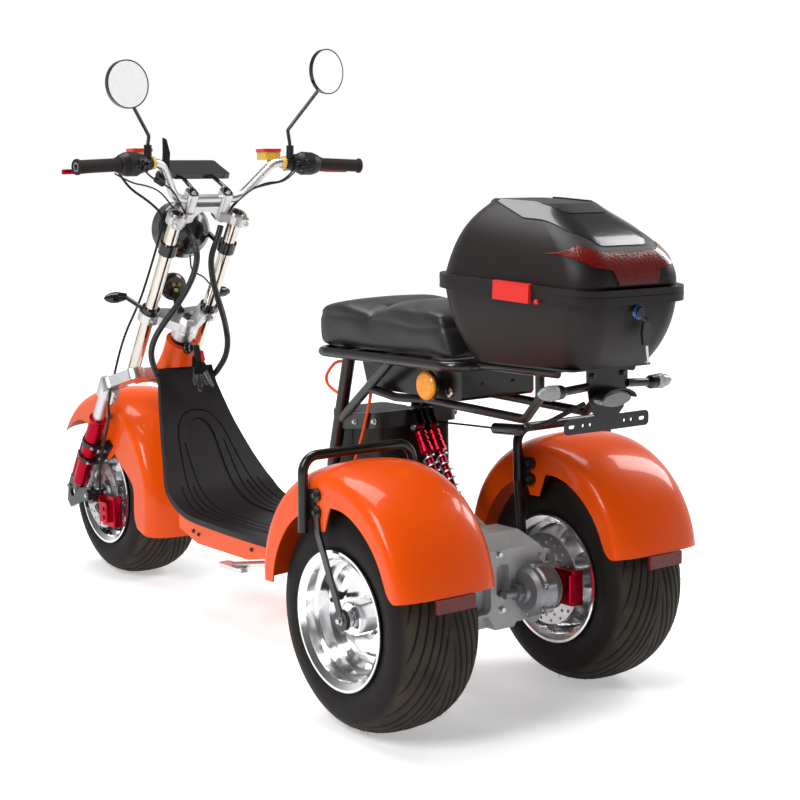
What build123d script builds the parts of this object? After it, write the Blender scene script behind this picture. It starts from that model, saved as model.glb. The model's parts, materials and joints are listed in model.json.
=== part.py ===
from build123d import *
from math import sin, cos, sqrt, radians
import os

os.makedirs("parts", exist_ok=True)

# Three-wheeled electric chopper scooter with a top case.
# +Z is up, the scooter faces -Y, its left side is +X, the origin is on the ground at the
# middle of its length. "Up" and "ahead" of the steering group are measured from the front
# axle, along the steering axis and square to it.

# ---- driving dimensions, mm and degrees ----
OVERALL_LENGTH = 2220
WHEELBASE = 1540
REAR_TRACK = 550
TYRE_OD = 465
TYRE_WIDTH = 200
RIM_OD = 279
RAKE = 33

AXLE_Z = TYRE_OD / 2
FRONT_Y = -OVERALL_LENGTH / 2 + TYRE_OD / 2
REAR_Y = FRONT_Y + WHEELBASE
REAR_X = REAR_TRACK / 2
TAIL_Y = OVERALL_LENGTH / 2
SIN = sin(radians(RAKE))
COS = cos(radians(RAKE))
FIT = 0.3
SIDES = (-1, 1)


def steer_point(across, up, ahead):
    """A point given across the scooter, up the steering axis and ahead of it."""
    return (across, FRONT_Y + up * SIN - ahead * COS, AXLE_Z + up * COS + ahead * SIN)


def steer_plane(up, ahead=0, across=0):
    """A plane square to the steering axis; its own y runs backwards."""
    return Plane(origin=steer_point(across, up, ahead), x_dir=(1, 0, 0), z_dir=(0, SIN, COS))


def rod(start, end, radius, mode=Mode.ADD):
    """A round bar between two points."""
    run = Vector(*end) - Vector(*start)
    with BuildSketch(Plane(origin=start, z_dir=run.normalized())) as section:
        Circle(radius)
    extrude(section.sketch, amount=run.length, mode=mode)


def tube(points, bend, radius, wall=0, mode=Mode.ADD):
    """A round tube along straight runs with rounded corners."""
    with BuildLine() as path:
        FilletPolyline(points, radius=bend)
    with BuildSketch(Plane(origin=path.line @ 0, z_dir=path.line % 0)) as section:
        Circle(radius)
        if wall:
            Circle(radius - wall, mode=Mode.SUBTRACT)
    sweep(section.sketch, path=path.line, mode=mode)


def turned(start, direction, profile, mode=Mode.ADD):
    """A body of revolution; its profile is given as (distance along the axis, radius)."""
    along = Vector(*direction).normalized()
    across = along.cross(Vector(0.31, 0.17, 1)).normalized()
    with BuildSketch(Plane(origin=start, x_dir=along, z_dir=across)) as section:
        Polygon(*profile, align=None)
    revolve(section.sketch, axis=Axis(start, along), mode=mode)


def slab(plane, width, height, thick, corner, mode=Mode.ADD):
    """A plate with rounded corners, centred on a plane."""
    with BuildSketch(plane) as section:
        RectangleRounded(width, height, corner)
    extrude(section.sketch, amount=thick, mode=mode)


def block(x, y, z, corner=0, mode=Mode.ADD):
    """A block between pairs of limits, its upright corners rounded if asked."""
    with BuildSketch(Plane(origin=((x[0] + x[1]) / 2, (y[0] + y[1]) / 2, z[0]))) as section:
        if corner:
            RectangleRounded(x[1] - x[0], y[1] - y[0], corner)
        else:
            Rectangle(x[1] - x[0], y[1] - y[0])
    extrude(section.sketch, amount=z[1] - z[0], mode=mode)


def side_plate(points, x0, x1, mode=Mode.ADD):
    """A flat plate drawn in side view as (y, z) points, between two X values."""
    with BuildSketch(Plane.YZ.offset(min(x0, x1))) as section:
        Polygon(*points, align=None)
    extrude(section.sketch, amount=abs(x1 - x0), mode=mode)


def strap(start, end, width, thick):
    """A flat bar on edge between two points, its width lying in the side view."""
    run = Vector(*end) - Vector(*start)
    with BuildSketch(Plane(origin=start, x_dir=(1, 0, 0), z_dir=run.normalized())) as section:
        Rectangle(thick, width)
    extrude(section.sketch, amount=run.length)


# ---- wheels ----
HALF_W = TYRE_WIDTH / 2
TYRE_R = TYRE_OD / 2
RIM_R = RIM_OD / 2
BEAD_R = RIM_R - 12
HUB_BORE = 12


def axle_profile(centre_x, axle_y, points, side=1):
    """A body of revolution round an axle, drawn as (x, radius) points."""
    turned((centre_x, axle_y, AXLE_Z), (side, 0, 0), points)


def tyre(centre_x, axle_y):
    """Fat low tyre with a rounded crown, open at the bead."""
    crown = [(HALF_W - 8, RIM_R + 2), (HALF_W - 0.8, RIM_R + 38), (HALF_W * 0.82, TYRE_R - 22),
             (HALF_W * 0.45, TYRE_R - 4)]
    inside = [(HALF_W - 8, RIM_R + 2), (HALF_W - 13, BEAD_R + FIT), (HALF_W - 25, BEAD_R + FIT),
              (HALF_W - 16, RIM_R + 30), (HALF_W * 0.7, TYRE_R - 34), (0, TYRE_R - 16)]
    middle = (centre_x, axle_y, AXLE_Z)
    with BuildSketch(Plane(origin=middle, x_dir=(1, 0, 0), z_dir=(0, -1, 0))) as section:
        with BuildLine():
            Spline(*[(-x, r) for x, r in crown], (0, TYRE_R), *reversed(crown))
            Polyline(*inside, *[(-x, r) for x, r in reversed(inside[:-1])])
        make_face()
    revolve(section.sketch, axis=Axis(middle, (1, 0, 0)))


def dish_rim(centre_x, axle_y, side):
    """Polished rim, its dish open towards the given side."""
    lip = RIM_R - 5
    well = BEAD_R - 14
    barrel = [(-HALF_W, RIM_R), (-HALF_W + 4, RIM_R), (-HALF_W + 7, BEAD_R), (-HALF_W + 28, BEAD_R),
              (-HALF_W + 34, BEAD_R - 8), (HALF_W - 34, BEAD_R - 8), (HALF_W - 28, BEAD_R),
              (HALF_W - 7, BEAD_R),
              (HALF_W - 4, RIM_R), (HALF_W, RIM_R), (HALF_W, lip), (HALF_W - 8, BEAD_R - 5),
              (HALF_W - 30, BEAD_R - 5), (HALF_W - 34, BEAD_R - 9), (HALF_W - 34, well), (HALF_W - 60, well),
              (-HALF_W + 38, well), (-HALF_W + 30, BEAD_R - 5), (-HALF_W + 8, BEAD_R - 5), (-HALF_W, lip)]
    dish = [(HALF_W - 62, well + 2), (HALF_W - 62, well - 6), (HALF_W - 74, well - 14), (HALF_W - 79, well - 30),
            (HALF_W - 80, 38), (HALF_W - 90, 38), (HALF_W - 90, well - 26), (HALF_W - 84, well - 8),
            (HALF_W - 76, well + 2)]
    hub = [(HALF_W - 32, 34), (HALF_W - 30, 31), (HALF_W - 30, HUB_BORE), (-HALF_W - 4, HUB_BORE),
           (-HALF_W - 4, 36), (-HALF_W + 14, 36), (-HALF_W + 20, 30), (HALF_W - 96, 32), (HALF_W - 90, 40),
           (HALF_W - 78, 40), (HALF_W - 74, 34)]
    axle_profile(centre_x, axle_y, barrel, side)
    axle_profile(centre_x, axle_y, dish, side)
    axle_profile(centre_x, axle_y, hub, side)


DISC_THICK = 4
DISC_CARRIER_R = 66


def brake_disc(start_x, axle_y, outer, side):
    """Thin brake disc with two rows of small holes, on a five-armed carrier."""
    place = Plane(origin=(start_x, axle_y, AXLE_Z), x_dir=(0, 1, 0), z_dir=(side, 0, 0))
    with BuildSketch(place) as section:
        Circle(outer)
        Circle(DISC_CARRIER_R, mode=Mode.SUBTRACT)
        with PolarLocations(outer - 8, 18):
            Circle(3.5, mode=Mode.SUBTRACT)
        with PolarLocations(outer - 20, 18, start_angle=10):
            Circle(3.5, mode=Mode.SUBTRACT)
        Circle(38)
        with PolarLocations(52, 5):
            Rectangle(34, 13)
        Circle(HUB_BORE + 18, mode=Mode.SUBTRACT)
    extrude(section.sketch, amount=DISC_THICK)


FRONT_DISC_X = HALF_W + 4
REAR_DISC_X = REAR_X - HALF_W - 4
with BuildPart() as front_tyre:
    tyre(0, FRONT_Y)
with BuildPart() as front_rim:
    dish_rim(0, FRONT_Y, -1)
with BuildPart() as front_brake_disc:
    brake_disc(FRONT_DISC_X, FRONT_Y, 95, 1)
with BuildPart() as rear_tyre_left:
    tyre(REAR_X, REAR_Y)
with BuildPart() as rear_rim_left:
    dish_rim(REAR_X, REAR_Y, 1)
with BuildPart() as rear_disc_left:
    brake_disc(REAR_DISC_X, REAR_Y, 98, -1)
with BuildPart() as rear_tyre_right:
    tyre(-REAR_X, REAR_Y)
with BuildPart() as rear_rim_right:
    dish_rim(-REAR_X, REAR_Y, -1)
with BuildPart() as rear_disc_right:
    brake_disc(-REAR_DISC_X, REAR_Y, 98, 1)

# ---- fork and steering ----
FORK_R = 17
FORK_X = 87
FORK_AHEAD = 47
LEG_X = 137
LEG_AHEAD = 73
LEG_TOP_UP = 352
LEG_R = 16
SLEEVE_R = 22
SLEEVE_UP = (-15, 216)
CROWN_UP = 395
CROWN_THICK = 30
HEAD_TUBE_UP = (432, 536.7)
LOW_YOKE_UP = 565
TOP_YOKE_UP = 868
FORK_TOP_UP = TOP_YOKE_UP + 28
BAR_UP = TOP_YOKE_UP + 57
BAR_AHEAD = 67
RISER_X = 50
RISER_TOP_UP = TOP_YOKE_UP + 76


def fork_bores(up):
    """The two holes for the fork tubes, cut from a height upwards."""
    for s in SIDES:
        with BuildSketch(steer_plane(up, FORK_AHEAD, s * FORK_X)) as hole:
            Circle(FORK_R + FIT)
        extrude(hole.sketch, amount=60, mode=Mode.SUBTRACT)


def fork_collars(up, height, radius):
    """A ring round each fork tube."""
    for s in SIDES:
        with BuildSketch(steer_plane(up, FORK_AHEAD, s * FORK_X)) as collar:
            Circle(radius)
            Circle(FORK_R + FIT, mode=Mode.SUBTRACT)
        extrude(collar.sketch, amount=height)


with BuildPart() as fork_tubes:
    for s in SIDES:
        with BuildSketch(steer_plane(CROWN_UP - 18, FORK_AHEAD, s * FORK_X)):
            Circle(FORK_R)
        extrude(amount=FORK_TOP_UP - CROWN_UP + 18)
        with BuildSketch(steer_plane(FORK_TOP_UP - 12, FORK_AHEAD, s * FORK_X)):
            Circle(FORK_R - 4)
        extrude(amount=13, mode=Mode.SUBTRACT)

with BuildPart() as top_yoke:
    with BuildSketch(steer_plane(TOP_YOKE_UP)):
        with Locations((-FORK_X, -FORK_AHEAD), (FORK_X, -FORK_AHEAD)):
            Circle(FORK_R + 9)
        with Locations((-FORK_X - 8, -FORK_AHEAD + 22), (FORK_X + 8, -FORK_AHEAD + 22)):
            RectangleRounded(26, 22, 5)
        for s in SIDES:
            Polygon((s * FORK_X, -FORK_AHEAD + 14), (s * FORK_X, -FORK_AHEAD - 22), (s * RISER_X, -BAR_AHEAD - 16),
                    (s * (RISER_X - 12), -BAR_AHEAD - 16), (s * (RISER_X - 12), -BAR_AHEAD + 20), align=None)
    extrude(amount=24)
    # the risers and the arched bridge between them
    with BuildSketch(steer_plane(TOP_YOKE_UP, BAR_AHEAD)):
        with Locations((-RISER_X, 0), (RISER_X, 0)):
            RectangleRounded(30, 36, 9)
    extrude(amount=RISER_TOP_UP - TOP_YOKE_UP)
    slab(steer_plane(TOP_YOKE_UP, BAR_AHEAD), 2 * RISER_X, 24, 40, 2)
    rod(steer_point(0, TOP_YOKE_UP - 8, BAR_AHEAD - 20), steer_point(0, TOP_YOKE_UP - 8, BAR_AHEAD + 20), 34,
        Mode.SUBTRACT)
    fork_bores(TOP_YOKE_UP - 1)
    rod(steer_point(-90, BAR_UP, BAR_AHEAD), steer_point(90, BAR_UP, BAR_AHEAD), 11 + FIT, Mode.SUBTRACT)

with BuildPart() as lower_yoke:
    with BuildSketch(steer_plane(LOW_YOKE_UP)):
        with Locations((-FORK_X, -FORK_AHEAD), (FORK_X, -FORK_AHEAD)):
            Circle(28)
        Circle(30)
        Polygon((-FORK_X, -FORK_AHEAD - 18), (-20, -FORK_AHEAD - 8), (20, -FORK_AHEAD - 8),
                (FORK_X, -FORK_AHEAD - 18), (FORK_X, -FORK_AHEAD + 14), (26, 16), (-26, 16),
                (-FORK_X, -FORK_AHEAD + 14), align=None)
    extrude(amount=26)
    fork_bores(LOW_YOKE_UP - 1)
    # the stem collar over the head bearing and the stem nut on top
    turned(steer_point(0, HEAD_TUBE_UP[1] + FIT, 0), (0, SIN, COS), [(0, 0), (0, 29), (24, 32), (32, 32), (32, 0)])
    with BuildSketch(steer_plane(LOW_YOKE_UP + 24)):
        RegularPolygon(19, 6)
    extrude(amount=14)

# the lower crown lies nearly level over the front fender and carries the outer legs
crown_back = Vector(*steer_point(0, CROWN_UP, FORK_AHEAD))
crown_tip = Vector(*steer_point(0, LEG_TOP_UP, LEG_AHEAD))
crown_fall = (crown_tip - crown_back).normalized()
crown_reach = (crown_tip - crown_back).length
crown_plane = Plane(origin=crown_back, x_dir=(1, 0, 0), z_dir=(0, crown_fall.Z, -crown_fall.Y))
with BuildPart() as fork_crown:
    with BuildSketch(crown_plane):
        with Locations((-FORK_X, 0), (FORK_X, 0)):
            Circle(29)
        with Locations((-LEG_X, -crown_reach), (LEG_X, -crown_reach)):
            Circle(24)
        Rectangle(2 * FORK_X, 36)
        Circle(34)
        for s in SIDES:
            Polygon((s * (FORK_X - 24), -16), (s * (FORK_X + 24), 16), (s * (LEG_X + 22), -crown_reach + 9),
                    (s * (LEG_X - 20), -crown_reach - 13), align=None)
    extrude(amount=-CROWN_THICK)
    # a hollow under the middle bridge leaves a web and two skirts
    slab(crown_plane.offset(-CROWN_THICK - 1), 92, 22, 22, 6, Mode.SUBTRACT)
    # the stem stub that runs up to the head tube
    rod(steer_point(0, CROWN_UP - 6, 14), steer_point(0, HEAD_TUBE_UP[0] - 12, 0), 22)
    rod(steer_point(0, CROWN_UP + 4, 0), steer_point(0, HEAD_TUBE_UP[0] - FIT, 0), 24)
    for s in SIDES:
        # leg boss, pinch lug and the polished leg down to the sleeve
        leg = (s * LEG_X, LEG_AHEAD)
        rod(steer_point(leg[0], SLEEVE_UP[1] + FIT, leg[1]), steer_point(leg[0], LEG_TOP_UP - 8, leg[1]), LEG_R)
        rod(steer_point(leg[0], LEG_TOP_UP - 54, leg[1]), steer_point(leg[0], LEG_TOP_UP - 6, leg[1]), 23)
        slab(steer_plane(LEG_TOP_UP - 56, leg[1] - 30, leg[0] - s * 10), 24, 22, 40, 4)
        rod(steer_point(s * FORK_X, CROWN_UP - 50, FORK_AHEAD), steer_point(s * FORK_X, CROWN_UP - 18.3, FORK_AHEAD), 17.3,
            Mode.SUBTRACT)
        rod(steer_point(s * FORK_X, CROWN_UP - 18.3, FORK_AHEAD), steer_point(s * FORK_X, CROWN_UP + 60, FORK_AHEAD),
            FORK_R + FIT, Mode.SUBTRACT)

DAMPER_AHEAD = LEG_AHEAD + 36
with BuildPart() as fork_sleeves:
    for s in SIDES:
        leg = steer_point(s * LEG_X, SLEEVE_UP[0], LEG_AHEAD)
        top = SLEEVE_UP[1] - SLEEVE_UP[0]
        turned(leg, (0, SIN, COS), [(0, 0), (0, SLEEVE_R - 3), (4, SLEEVE_R), (106, SLEEVE_R), (109, SLEEVE_R - 1.5),
                                    (113, SLEEVE_R - 1.5), (116, SLEEVE_R), (top - 9, SLEEVE_R),
                                    (top - 5, SLEEVE_R + 2), (top, SLEEVE_R + 2), (top, 0)])
        rod(steer_point(s * LEG_X, -14, DAMPER_AHEAD), steer_point(s * LEG_X, 66, DAMPER_AHEAD), 10.5)
        rod(steer_point(s * LEG_X, 56, DAMPER_AHEAD), steer_point(s * LEG_X, 56, LEG_AHEAD), 6)
        rod(steer_point(s * LEG_X, -6, DAMPER_AHEAD), steer_point(s * LEG_X, -6, LEG_AHEAD), 6)

FENDER_HALF = 109
with BuildPart() as sleeve_clamps:
    for s in SIDES:
        for up in (74, 126):
            with BuildSketch(steer_plane(up, LEG_AHEAD, s * LEG_X)):
                Circle(SLEEVE_R + 5)
                Circle(SLEEVE_R + FIT, mode=Mode.SUBTRACT)
            extrude(amount=12)
            rod(steer_point(s * (LEG_X + 8), up + 6, LEG_AHEAD - 29), steer_point(s * (LEG_X - 26), up + 6,
                LEG_AHEAD - 29), 6)
        # the bracket between the clamps and the fender's tab
        tab = [steer_point(0, 70, 54)[1:], steer_point(0, 142, 54)[1:], steer_point(0, 168, 34)[1:],
               steer_point(0, 168, 6)[1:], steer_point(0, 118, 20)[1:], steer_point(0, 70, 36)[1:]]
        side_plate(tab, s * (FENDER_HALF + FIT), s * (FENDER_HALF + 4))

LINK_X = LEG_X - 1
with BuildPart() as fork_links:
    # the forged C-shaped links hang from the sleeves and carry the axle behind them
    for s in SIDES:
        with BuildSketch(Plane.YZ.offset(s * (LINK_X + 5) - 5)):
            with Locations((FRONT_Y, AXLE_Z)):
                Circle(23)
            Polygon(steer_point(0, -18, LEG_AHEAD + 44)[1:], steer_point(0, -60, LEG_AHEAD + 44)[1:],
                    steer_point(0, -104, LEG_AHEAD + 26)[1:], steer_point(0, -108, LEG_AHEAD)[1:],
                    steer_point(0, -84, 56)[1:], steer_point(0, -22, 4)[1:], steer_point(0, 18, 14)[1:],
                    steer_point(0, -17.3, LEG_AHEAD - 22)[1:], align=None)
            with Locations(steer_point(0, -62, LEG_AHEAD + 14)[1:]):
                Circle(13, mode=Mode.SUBTRACT)
        extrude(amount=10)
        turned(steer_point(s * LEG_X, SLEEVE_UP[0] - 29, LEG_AHEAD), (0, SIN, COS),
               [(0, 0), (0, 13), (29 - FIT, 19), (29 - FIT, 0)])
    rod((-LEG_X - 12, FRONT_Y, AXLE_Z), (LEG_X + 12, FRONT_Y, AXLE_Z), HUB_BORE - FIT)
    for s in SIDES:
        rod((s * (LINK_X + 9), FRONT_Y, AXLE_Z), (s * (LINK_X + 21), FRONT_Y, AXLE_Z), 15)

GRIP_END = 408
GRIP_Y = FRONT_Y + 545
GRIP_Z = 1124
BEND_X = 163
BEND_Y = FRONT_Y + 508
BEND_Z = 1135
BAR_R = 11
bar_middle = steer_point(0, BAR_UP, BAR_AHEAD)
with BuildPart() as handlebar:
    bar_half = [(GRIP_END, GRIP_Y, GRIP_Z), (BEND_X, BEND_Y, BEND_Z), (92, bar_middle[1], bar_middle[2])]
    tube(bar_half + [(-x, y, z) for x, y, z in reversed(bar_half)], 42, BAR_R, 2.5)


def grip_axis(side):
    """The end of the handlebar and the direction inwards along the grip."""
    end = Vector(side * (GRIP_END + 1), GRIP_Y, GRIP_Z)
    inwards = (Vector(side * BEND_X, BEND_Y, BEND_Z) - end).normalized()
    return end, inwards


BORE = BAR_R + FIT
GRIP_LENGTH = 122
with BuildPart() as grips:
    for s in SIDES:
        end, inwards = grip_axis(s)
        turned(end, inwards, [(0, BORE), (0, 17), (2, 19), (7, 19), (9, 16), (GRIP_LENGTH - 8, 16),
                              (GRIP_LENGTH - 6, 18.5), (GRIP_LENGTH, 18.5), (GRIP_LENGTH, BORE)])

HOUSING_START = GRIP_LENGTH + FIT
with BuildPart() as switch_housings:
    for s in SIDES:
        end, inwards = grip_axis(s)
        turned(end, inwards, [(HOUSING_START, BORE), (HOUSING_START, 20), (HOUSING_START + 6, 24),
                              (HOUSING_START + 20, 29), (HOUSING_START + 48, 30), (HOUSING_START + 62, 24),
                              (HOUSING_START + 74, 22), (HOUSING_START + 74, BORE)])
        # the mirror perch
        perch = end + inwards * (HOUSING_START + 84)
        turned(perch - inwards * 9, inwards, [(0, BORE), (0, 17), (18, 17), (18, BORE)])
        rod(perch + Vector(0, 6, 12), perch + Vector(0, 8, 44), 9.5)
        turned(end, inwards, [(HOUSING_START + 60, BORE), (HOUSING_START + 60, 16), (HOUSING_START + 84, 16),
                              (HOUSING_START + 84, BORE)])

MIRROR_R = 57
# each mirror is set by hand: side, bend of the stalk above its foot, middle of the glass, way it faces
MIRRORS = [(1, (-4, 0, 21), (285, FRONT_Y + 577, 1316), (-0.09, 1, 0)),
           (-1, (6, 0, 38), (-285, FRONT_Y + 575, 1362), (-0.2, 1, 0))]
with BuildPart() as mirror_shells:
    for side, bend, middle, way in MIRRORS:
        end, inwards = grip_axis(side)
        foot = end + inwards * (HOUSING_START + 84) + Vector(0, 8, 44 + FIT)
        glass = Vector(*middle)
        facing = Vector(*way).normalized()
        tube([foot, foot + Vector(*bend), glass - Vector(side * 16, 8, 44), glass - facing * 8], 9, 4.5)
        turned(glass - facing * 18, facing, [(0, 0), (0, 18), (5, 38), (11, MIRROR_R - 6), (15, MIRROR_R),
                                             (26, MIRROR_R), (26, MIRROR_R - 2.5), (23, MIRROR_R - 2.5), (23, 0)])
with BuildPart() as mirror_glasses:
    for side, bend, middle, way in MIRRORS:
        facing = Vector(*way).normalized()
        turned(Vector(*middle) + facing * (5 + FIT), facing, [(0, 0), (0, MIRROR_R - 3), (2, MIRROR_R - 3), (2, 0)])

RESERVOIR_X = 188
reservoir_base = Vector(0, FRONT_Y + 446, 1142)


def lever_pivot(side):
    """Where a brake lever hinges on its master cylinder."""
    return Vector(side * 256, FRONT_Y + 448, 1122)


with BuildPart() as brake_reservoirs:
    for s in SIDES:
        end, inwards = grip_axis(s)
        place = Vector(s * RESERVOIR_X, 0, 0) + reservoir_base
        slab(Plane(origin=place), 50, 44, 20, 6)
        clamp = end + inwards * (HOUSING_START + 94 + FIT)
        turned(clamp, inwards, [(0, BORE), (0, 16), (9, 16), (9, BORE)])
        slab(Plane(origin=(clamp.X - s * 5, clamp.Y - 38.5, 1124)), 10, 50, 20, 3)
        rod(place + Vector(0, 0, 1), lever_pivot(s) - Vector(s * 14, 0, 0), 8)
        rod(lever_pivot(s) - Vector(s * 22, 0, 0), lever_pivot(s) - Vector(s * FIT, 0, 0), 9)
        turned(end, inwards, [(HOUSING_START + 94, 30), (HOUSING_START + 94, BORE), (HOUSING_START + 95, BORE)],
               Mode.SUBTRACT)
with BuildPart() as reservoir_caps:
    for s in SIDES:
        slab(Plane(origin=Vector(s * RESERVOIR_X, 0, 20 + FIT) + reservoir_base), 54, 48, 8, 7)

with BuildPart() as brake_levers:
    for s in SIDES:
        pivot = lever_pivot(s)
        tip = Vector(s * 410, FRONT_Y + 478, 1114)
        tube([pivot, pivot + Vector(s * 40, 0, 0), tip - Vector(s * 56, 6, -1), tip], 22, 6)

DISPLAY_TILT = radians(24)
DISPLAY_BACK = Vector(*steer_point(0, TOP_YOKE_UP + 78, 161))
with BuildPart() as display:
    face = Plane(origin=DISPLAY_BACK, x_dir=(1, 0, 0), z_dir=(0, sin(DISPLAY_TILT), cos(DISPLAY_TILT)))
    slab(face, 166, 92, 13, 8)
    slab(face.offset(-9), 110, 40, 10, 6)
    for s in SIDES:
        slab(steer_plane(RISER_TOP_UP + FIT, BAR_AHEAD, s * RISER_X), 26, 30, 4, 6)
        rod(steer_point(s * RISER_X, RISER_TOP_UP + 8, BAR_AHEAD + 4), DISPLAY_BACK + Vector(s * 44, 6, -5), 5.5)

HEAD_R = 74
HEAD_CENTRE = Vector(*steer_point(0, TOP_YOKE_UP - 76, 125.5))
with BuildPart() as headlight:
    turned(HEAD_CENTRE, (0, -1, 0), [(-52, 0), (-52, 26), (-40, 46), (-18, 64), (0, HEAD_R - 3), (6, HEAD_R),
                                     (44, HEAD_R), (48, HEAD_R - 3), (48, HEAD_R - 8), (40, HEAD_R - 8), (40, 0)])
    for s in SIDES:
        rod(steer_point(s * 70, TOP_YOKE_UP - 78, FORK_AHEAD + 17), HEAD_CENTRE + Vector(s * (HEAD_R - 14), -6, 0), 7)
    fork_collars(TOP_YOKE_UP - 93, 30, FORK_R + 6)
with BuildPart() as headlight_lens:
    turned(HEAD_CENTRE, (0, -1, 0), [(40 + FIT, 0), (40 + FIT, HEAD_R - 9), (50, HEAD_R - 9), (56, HEAD_R - 26),
                                     (59, 28), (60, 0)])

HORN_R = 37
with BuildPart() as horn:
    horn_back = Vector(0, FRONT_Y + 266, 813)
    ahead = Vector(0, -1, 0.1)
    turned(horn_back, ahead, [(0, 0), (0, 12), (4, 12), (4, 27), (9, 34), (9, HORN_R), (19, HORN_R), (22, HORN_R - 3),
                              (30, HORN_R - 6), (34, 22), (34, 0)])
    slab(steer_plane(LOW_YOKE_UP + 26 + FIT, FORK_AHEAD + 1), 22, 26, 4, 4)
    strap(steer_point(0, LOW_YOKE_UP + 28, FORK_AHEAD + 10), horn_back + Vector(0, -2, 0), 5, 20)

INDICATOR_UP = LOW_YOKE_UP + 27
with BuildPart() as front_indicators:
    for s in SIDES:
        stalk = Vector(s * 133, FRONT_Y + 232, 793)
        rod(steer_point(s * 108, INDICATOR_UP + 6, FORK_AHEAD + 8), stalk, 6)
        turned(stalk - Vector(s * 4, 0, 0), (s, -0.08, -0.04), [(0, 0), (0, 9), (8, 11), (26, 15), (42, 14), (56, 8),
                                                             (63, 0)])
    fork_collars(INDICATOR_UP, 12, FORK_R + 7)

# ---- fenders ----


def fender_shell(centre_x, centre_y, centre_z, crown_r, flank_r, half_w, wall, start, stop):
    """A rounded fender swept round an axle; angles run from the rear horizontal over the top."""
    plane = Plane(origin=(centre_x, centre_y, centre_z), x_dir=(1, 0, 0),
                  z_dir=(0, -sin(radians(start)), cos(radians(start))))
    rise = 42

    def crown(width, top):
        left = [(width, top - rise), (width * 0.95, top - rise * 0.56), (width * 0.76, top - rise * 0.25),
                (width * 0.42, top - rise * 0.06)]
        return left + [(0, top)] + [(-x, r) for x, r in reversed(left)]

    outer = crown(half_w, crown_r)
    inner = crown(half_w - wall, crown_r - wall)
    with BuildSketch(plane) as section:
        with BuildLine():
            Spline(*outer)
            Polyline(outer[-1], (-half_w, flank_r), (-half_w + wall, flank_r), inner[-1])
            Spline(*inner)
            Polyline(inner[0], (half_w - wall, flank_r), (half_w, flank_r), outer[0])
        make_face()
    revolve(section.sketch, axis=Axis((centre_x, centre_y, centre_z), (1, 0, 0)), revolution_arc=stop - start)


def wheel_opening(edge, below, half_x):
    """Cuts both flanks along a smooth lower edge given in side view as (y, z) points."""
    with BuildSketch(Plane.YZ.offset(-half_x)) as section:
        with BuildLine():
            for stretch in edge:
                if len(stretch) > 2:
                    Spline(*stretch)
                else:
                    Line(*stretch)
            Polyline(edge[-1][-1], *below, edge[0][0])
        make_face()
    extrude(section.sketch, amount=2 * half_x, mode=Mode.SUBTRACT)


FRONT_FENDER_R = 292
with BuildPart() as front_fender:
    fender_shell(0, FRONT_Y, AXLE_Z, FRONT_FENDER_R, 118, FENDER_HALF, 2.5, -18, 145)
    rear_edge = [(FRONT_Y + 262, AXLE_Z - 92), (FRONT_Y + 214, AXLE_Z - 74), (FRONT_Y + 194, AXLE_Z - 38),
                 (FRONT_Y + 192, AXLE_Z + 40), (FRONT_Y + 134, AXLE_Z + 90), (FRONT_Y + 90, AXLE_Z + 124)]
    tab_edge = [(FRONT_Y + 90, AXLE_Z + 124), (FRONT_Y + 30, AXLE_Z + 84)]
    foot_edge = [(FRONT_Y + 30, AXLE_Z + 84), (FRONT_Y - 4, AXLE_Z + 84)]
    front_edge = [(FRONT_Y - 4, AXLE_Z + 84), (FRONT_Y - 30, AXLE_Z + 168), (FRONT_Y - 110, AXLE_Z + 196),
                  (FRONT_Y - 190, AXLE_Z + 172), (FRONT_Y - 262, AXLE_Z + 110)]
    wheel_opening([rear_edge, tab_edge, foot_edge, front_edge], [(FRONT_Y - 300, AXLE_Z - 130),
                                                                 (FRONT_Y + 262, AXLE_Z - 130)], 130)

FENDER_Y = REAR_Y - 8
FENDER_Z = AXLE_Z + 50.5
REAR_FENDER_HALF = 119
with BuildPart() as rear_fenders:
    for s in SIDES:
        fender_shell(s * REAR_X, FENDER_Y, FENDER_Z, 255, 118, REAR_FENDER_HALF, 3, 7, 182)
    tail_edge = [(REAR_Y + 222, AXLE_Z + 76), (REAR_Y + 196, AXLE_Z + 84), (REAR_Y + 176, AXLE_Z + 119),
                 (REAR_Y + 110, AXLE_Z + 198), (REAR_Y + 60, AXLE_Z + 223), (REAR_Y + 10, AXLE_Z + 227)]
    notch_edge = [(REAR_Y + 10, AXLE_Z + 227), (REAR_Y - 10, AXLE_Z + 178)]
    foot_edge = [(REAR_Y - 10, AXLE_Z + 178), (REAR_Y - 38, AXLE_Z + 178)]
    nose_edge = [(REAR_Y - 38, AXLE_Z + 178), (REAR_Y - 60, AXLE_Z + 206), (REAR_Y - 112, AXLE_Z + 190),
                 (REAR_Y - 160, AXLE_Z + 146), (REAR_Y - 190, AXLE_Z + 92), (REAR_Y - 200, AXLE_Z + 30)]
    wheel_opening([tail_edge, notch_edge, foot_edge, nose_edge], [(REAR_Y + 222, AXLE_Z + 30)], 420)

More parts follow.
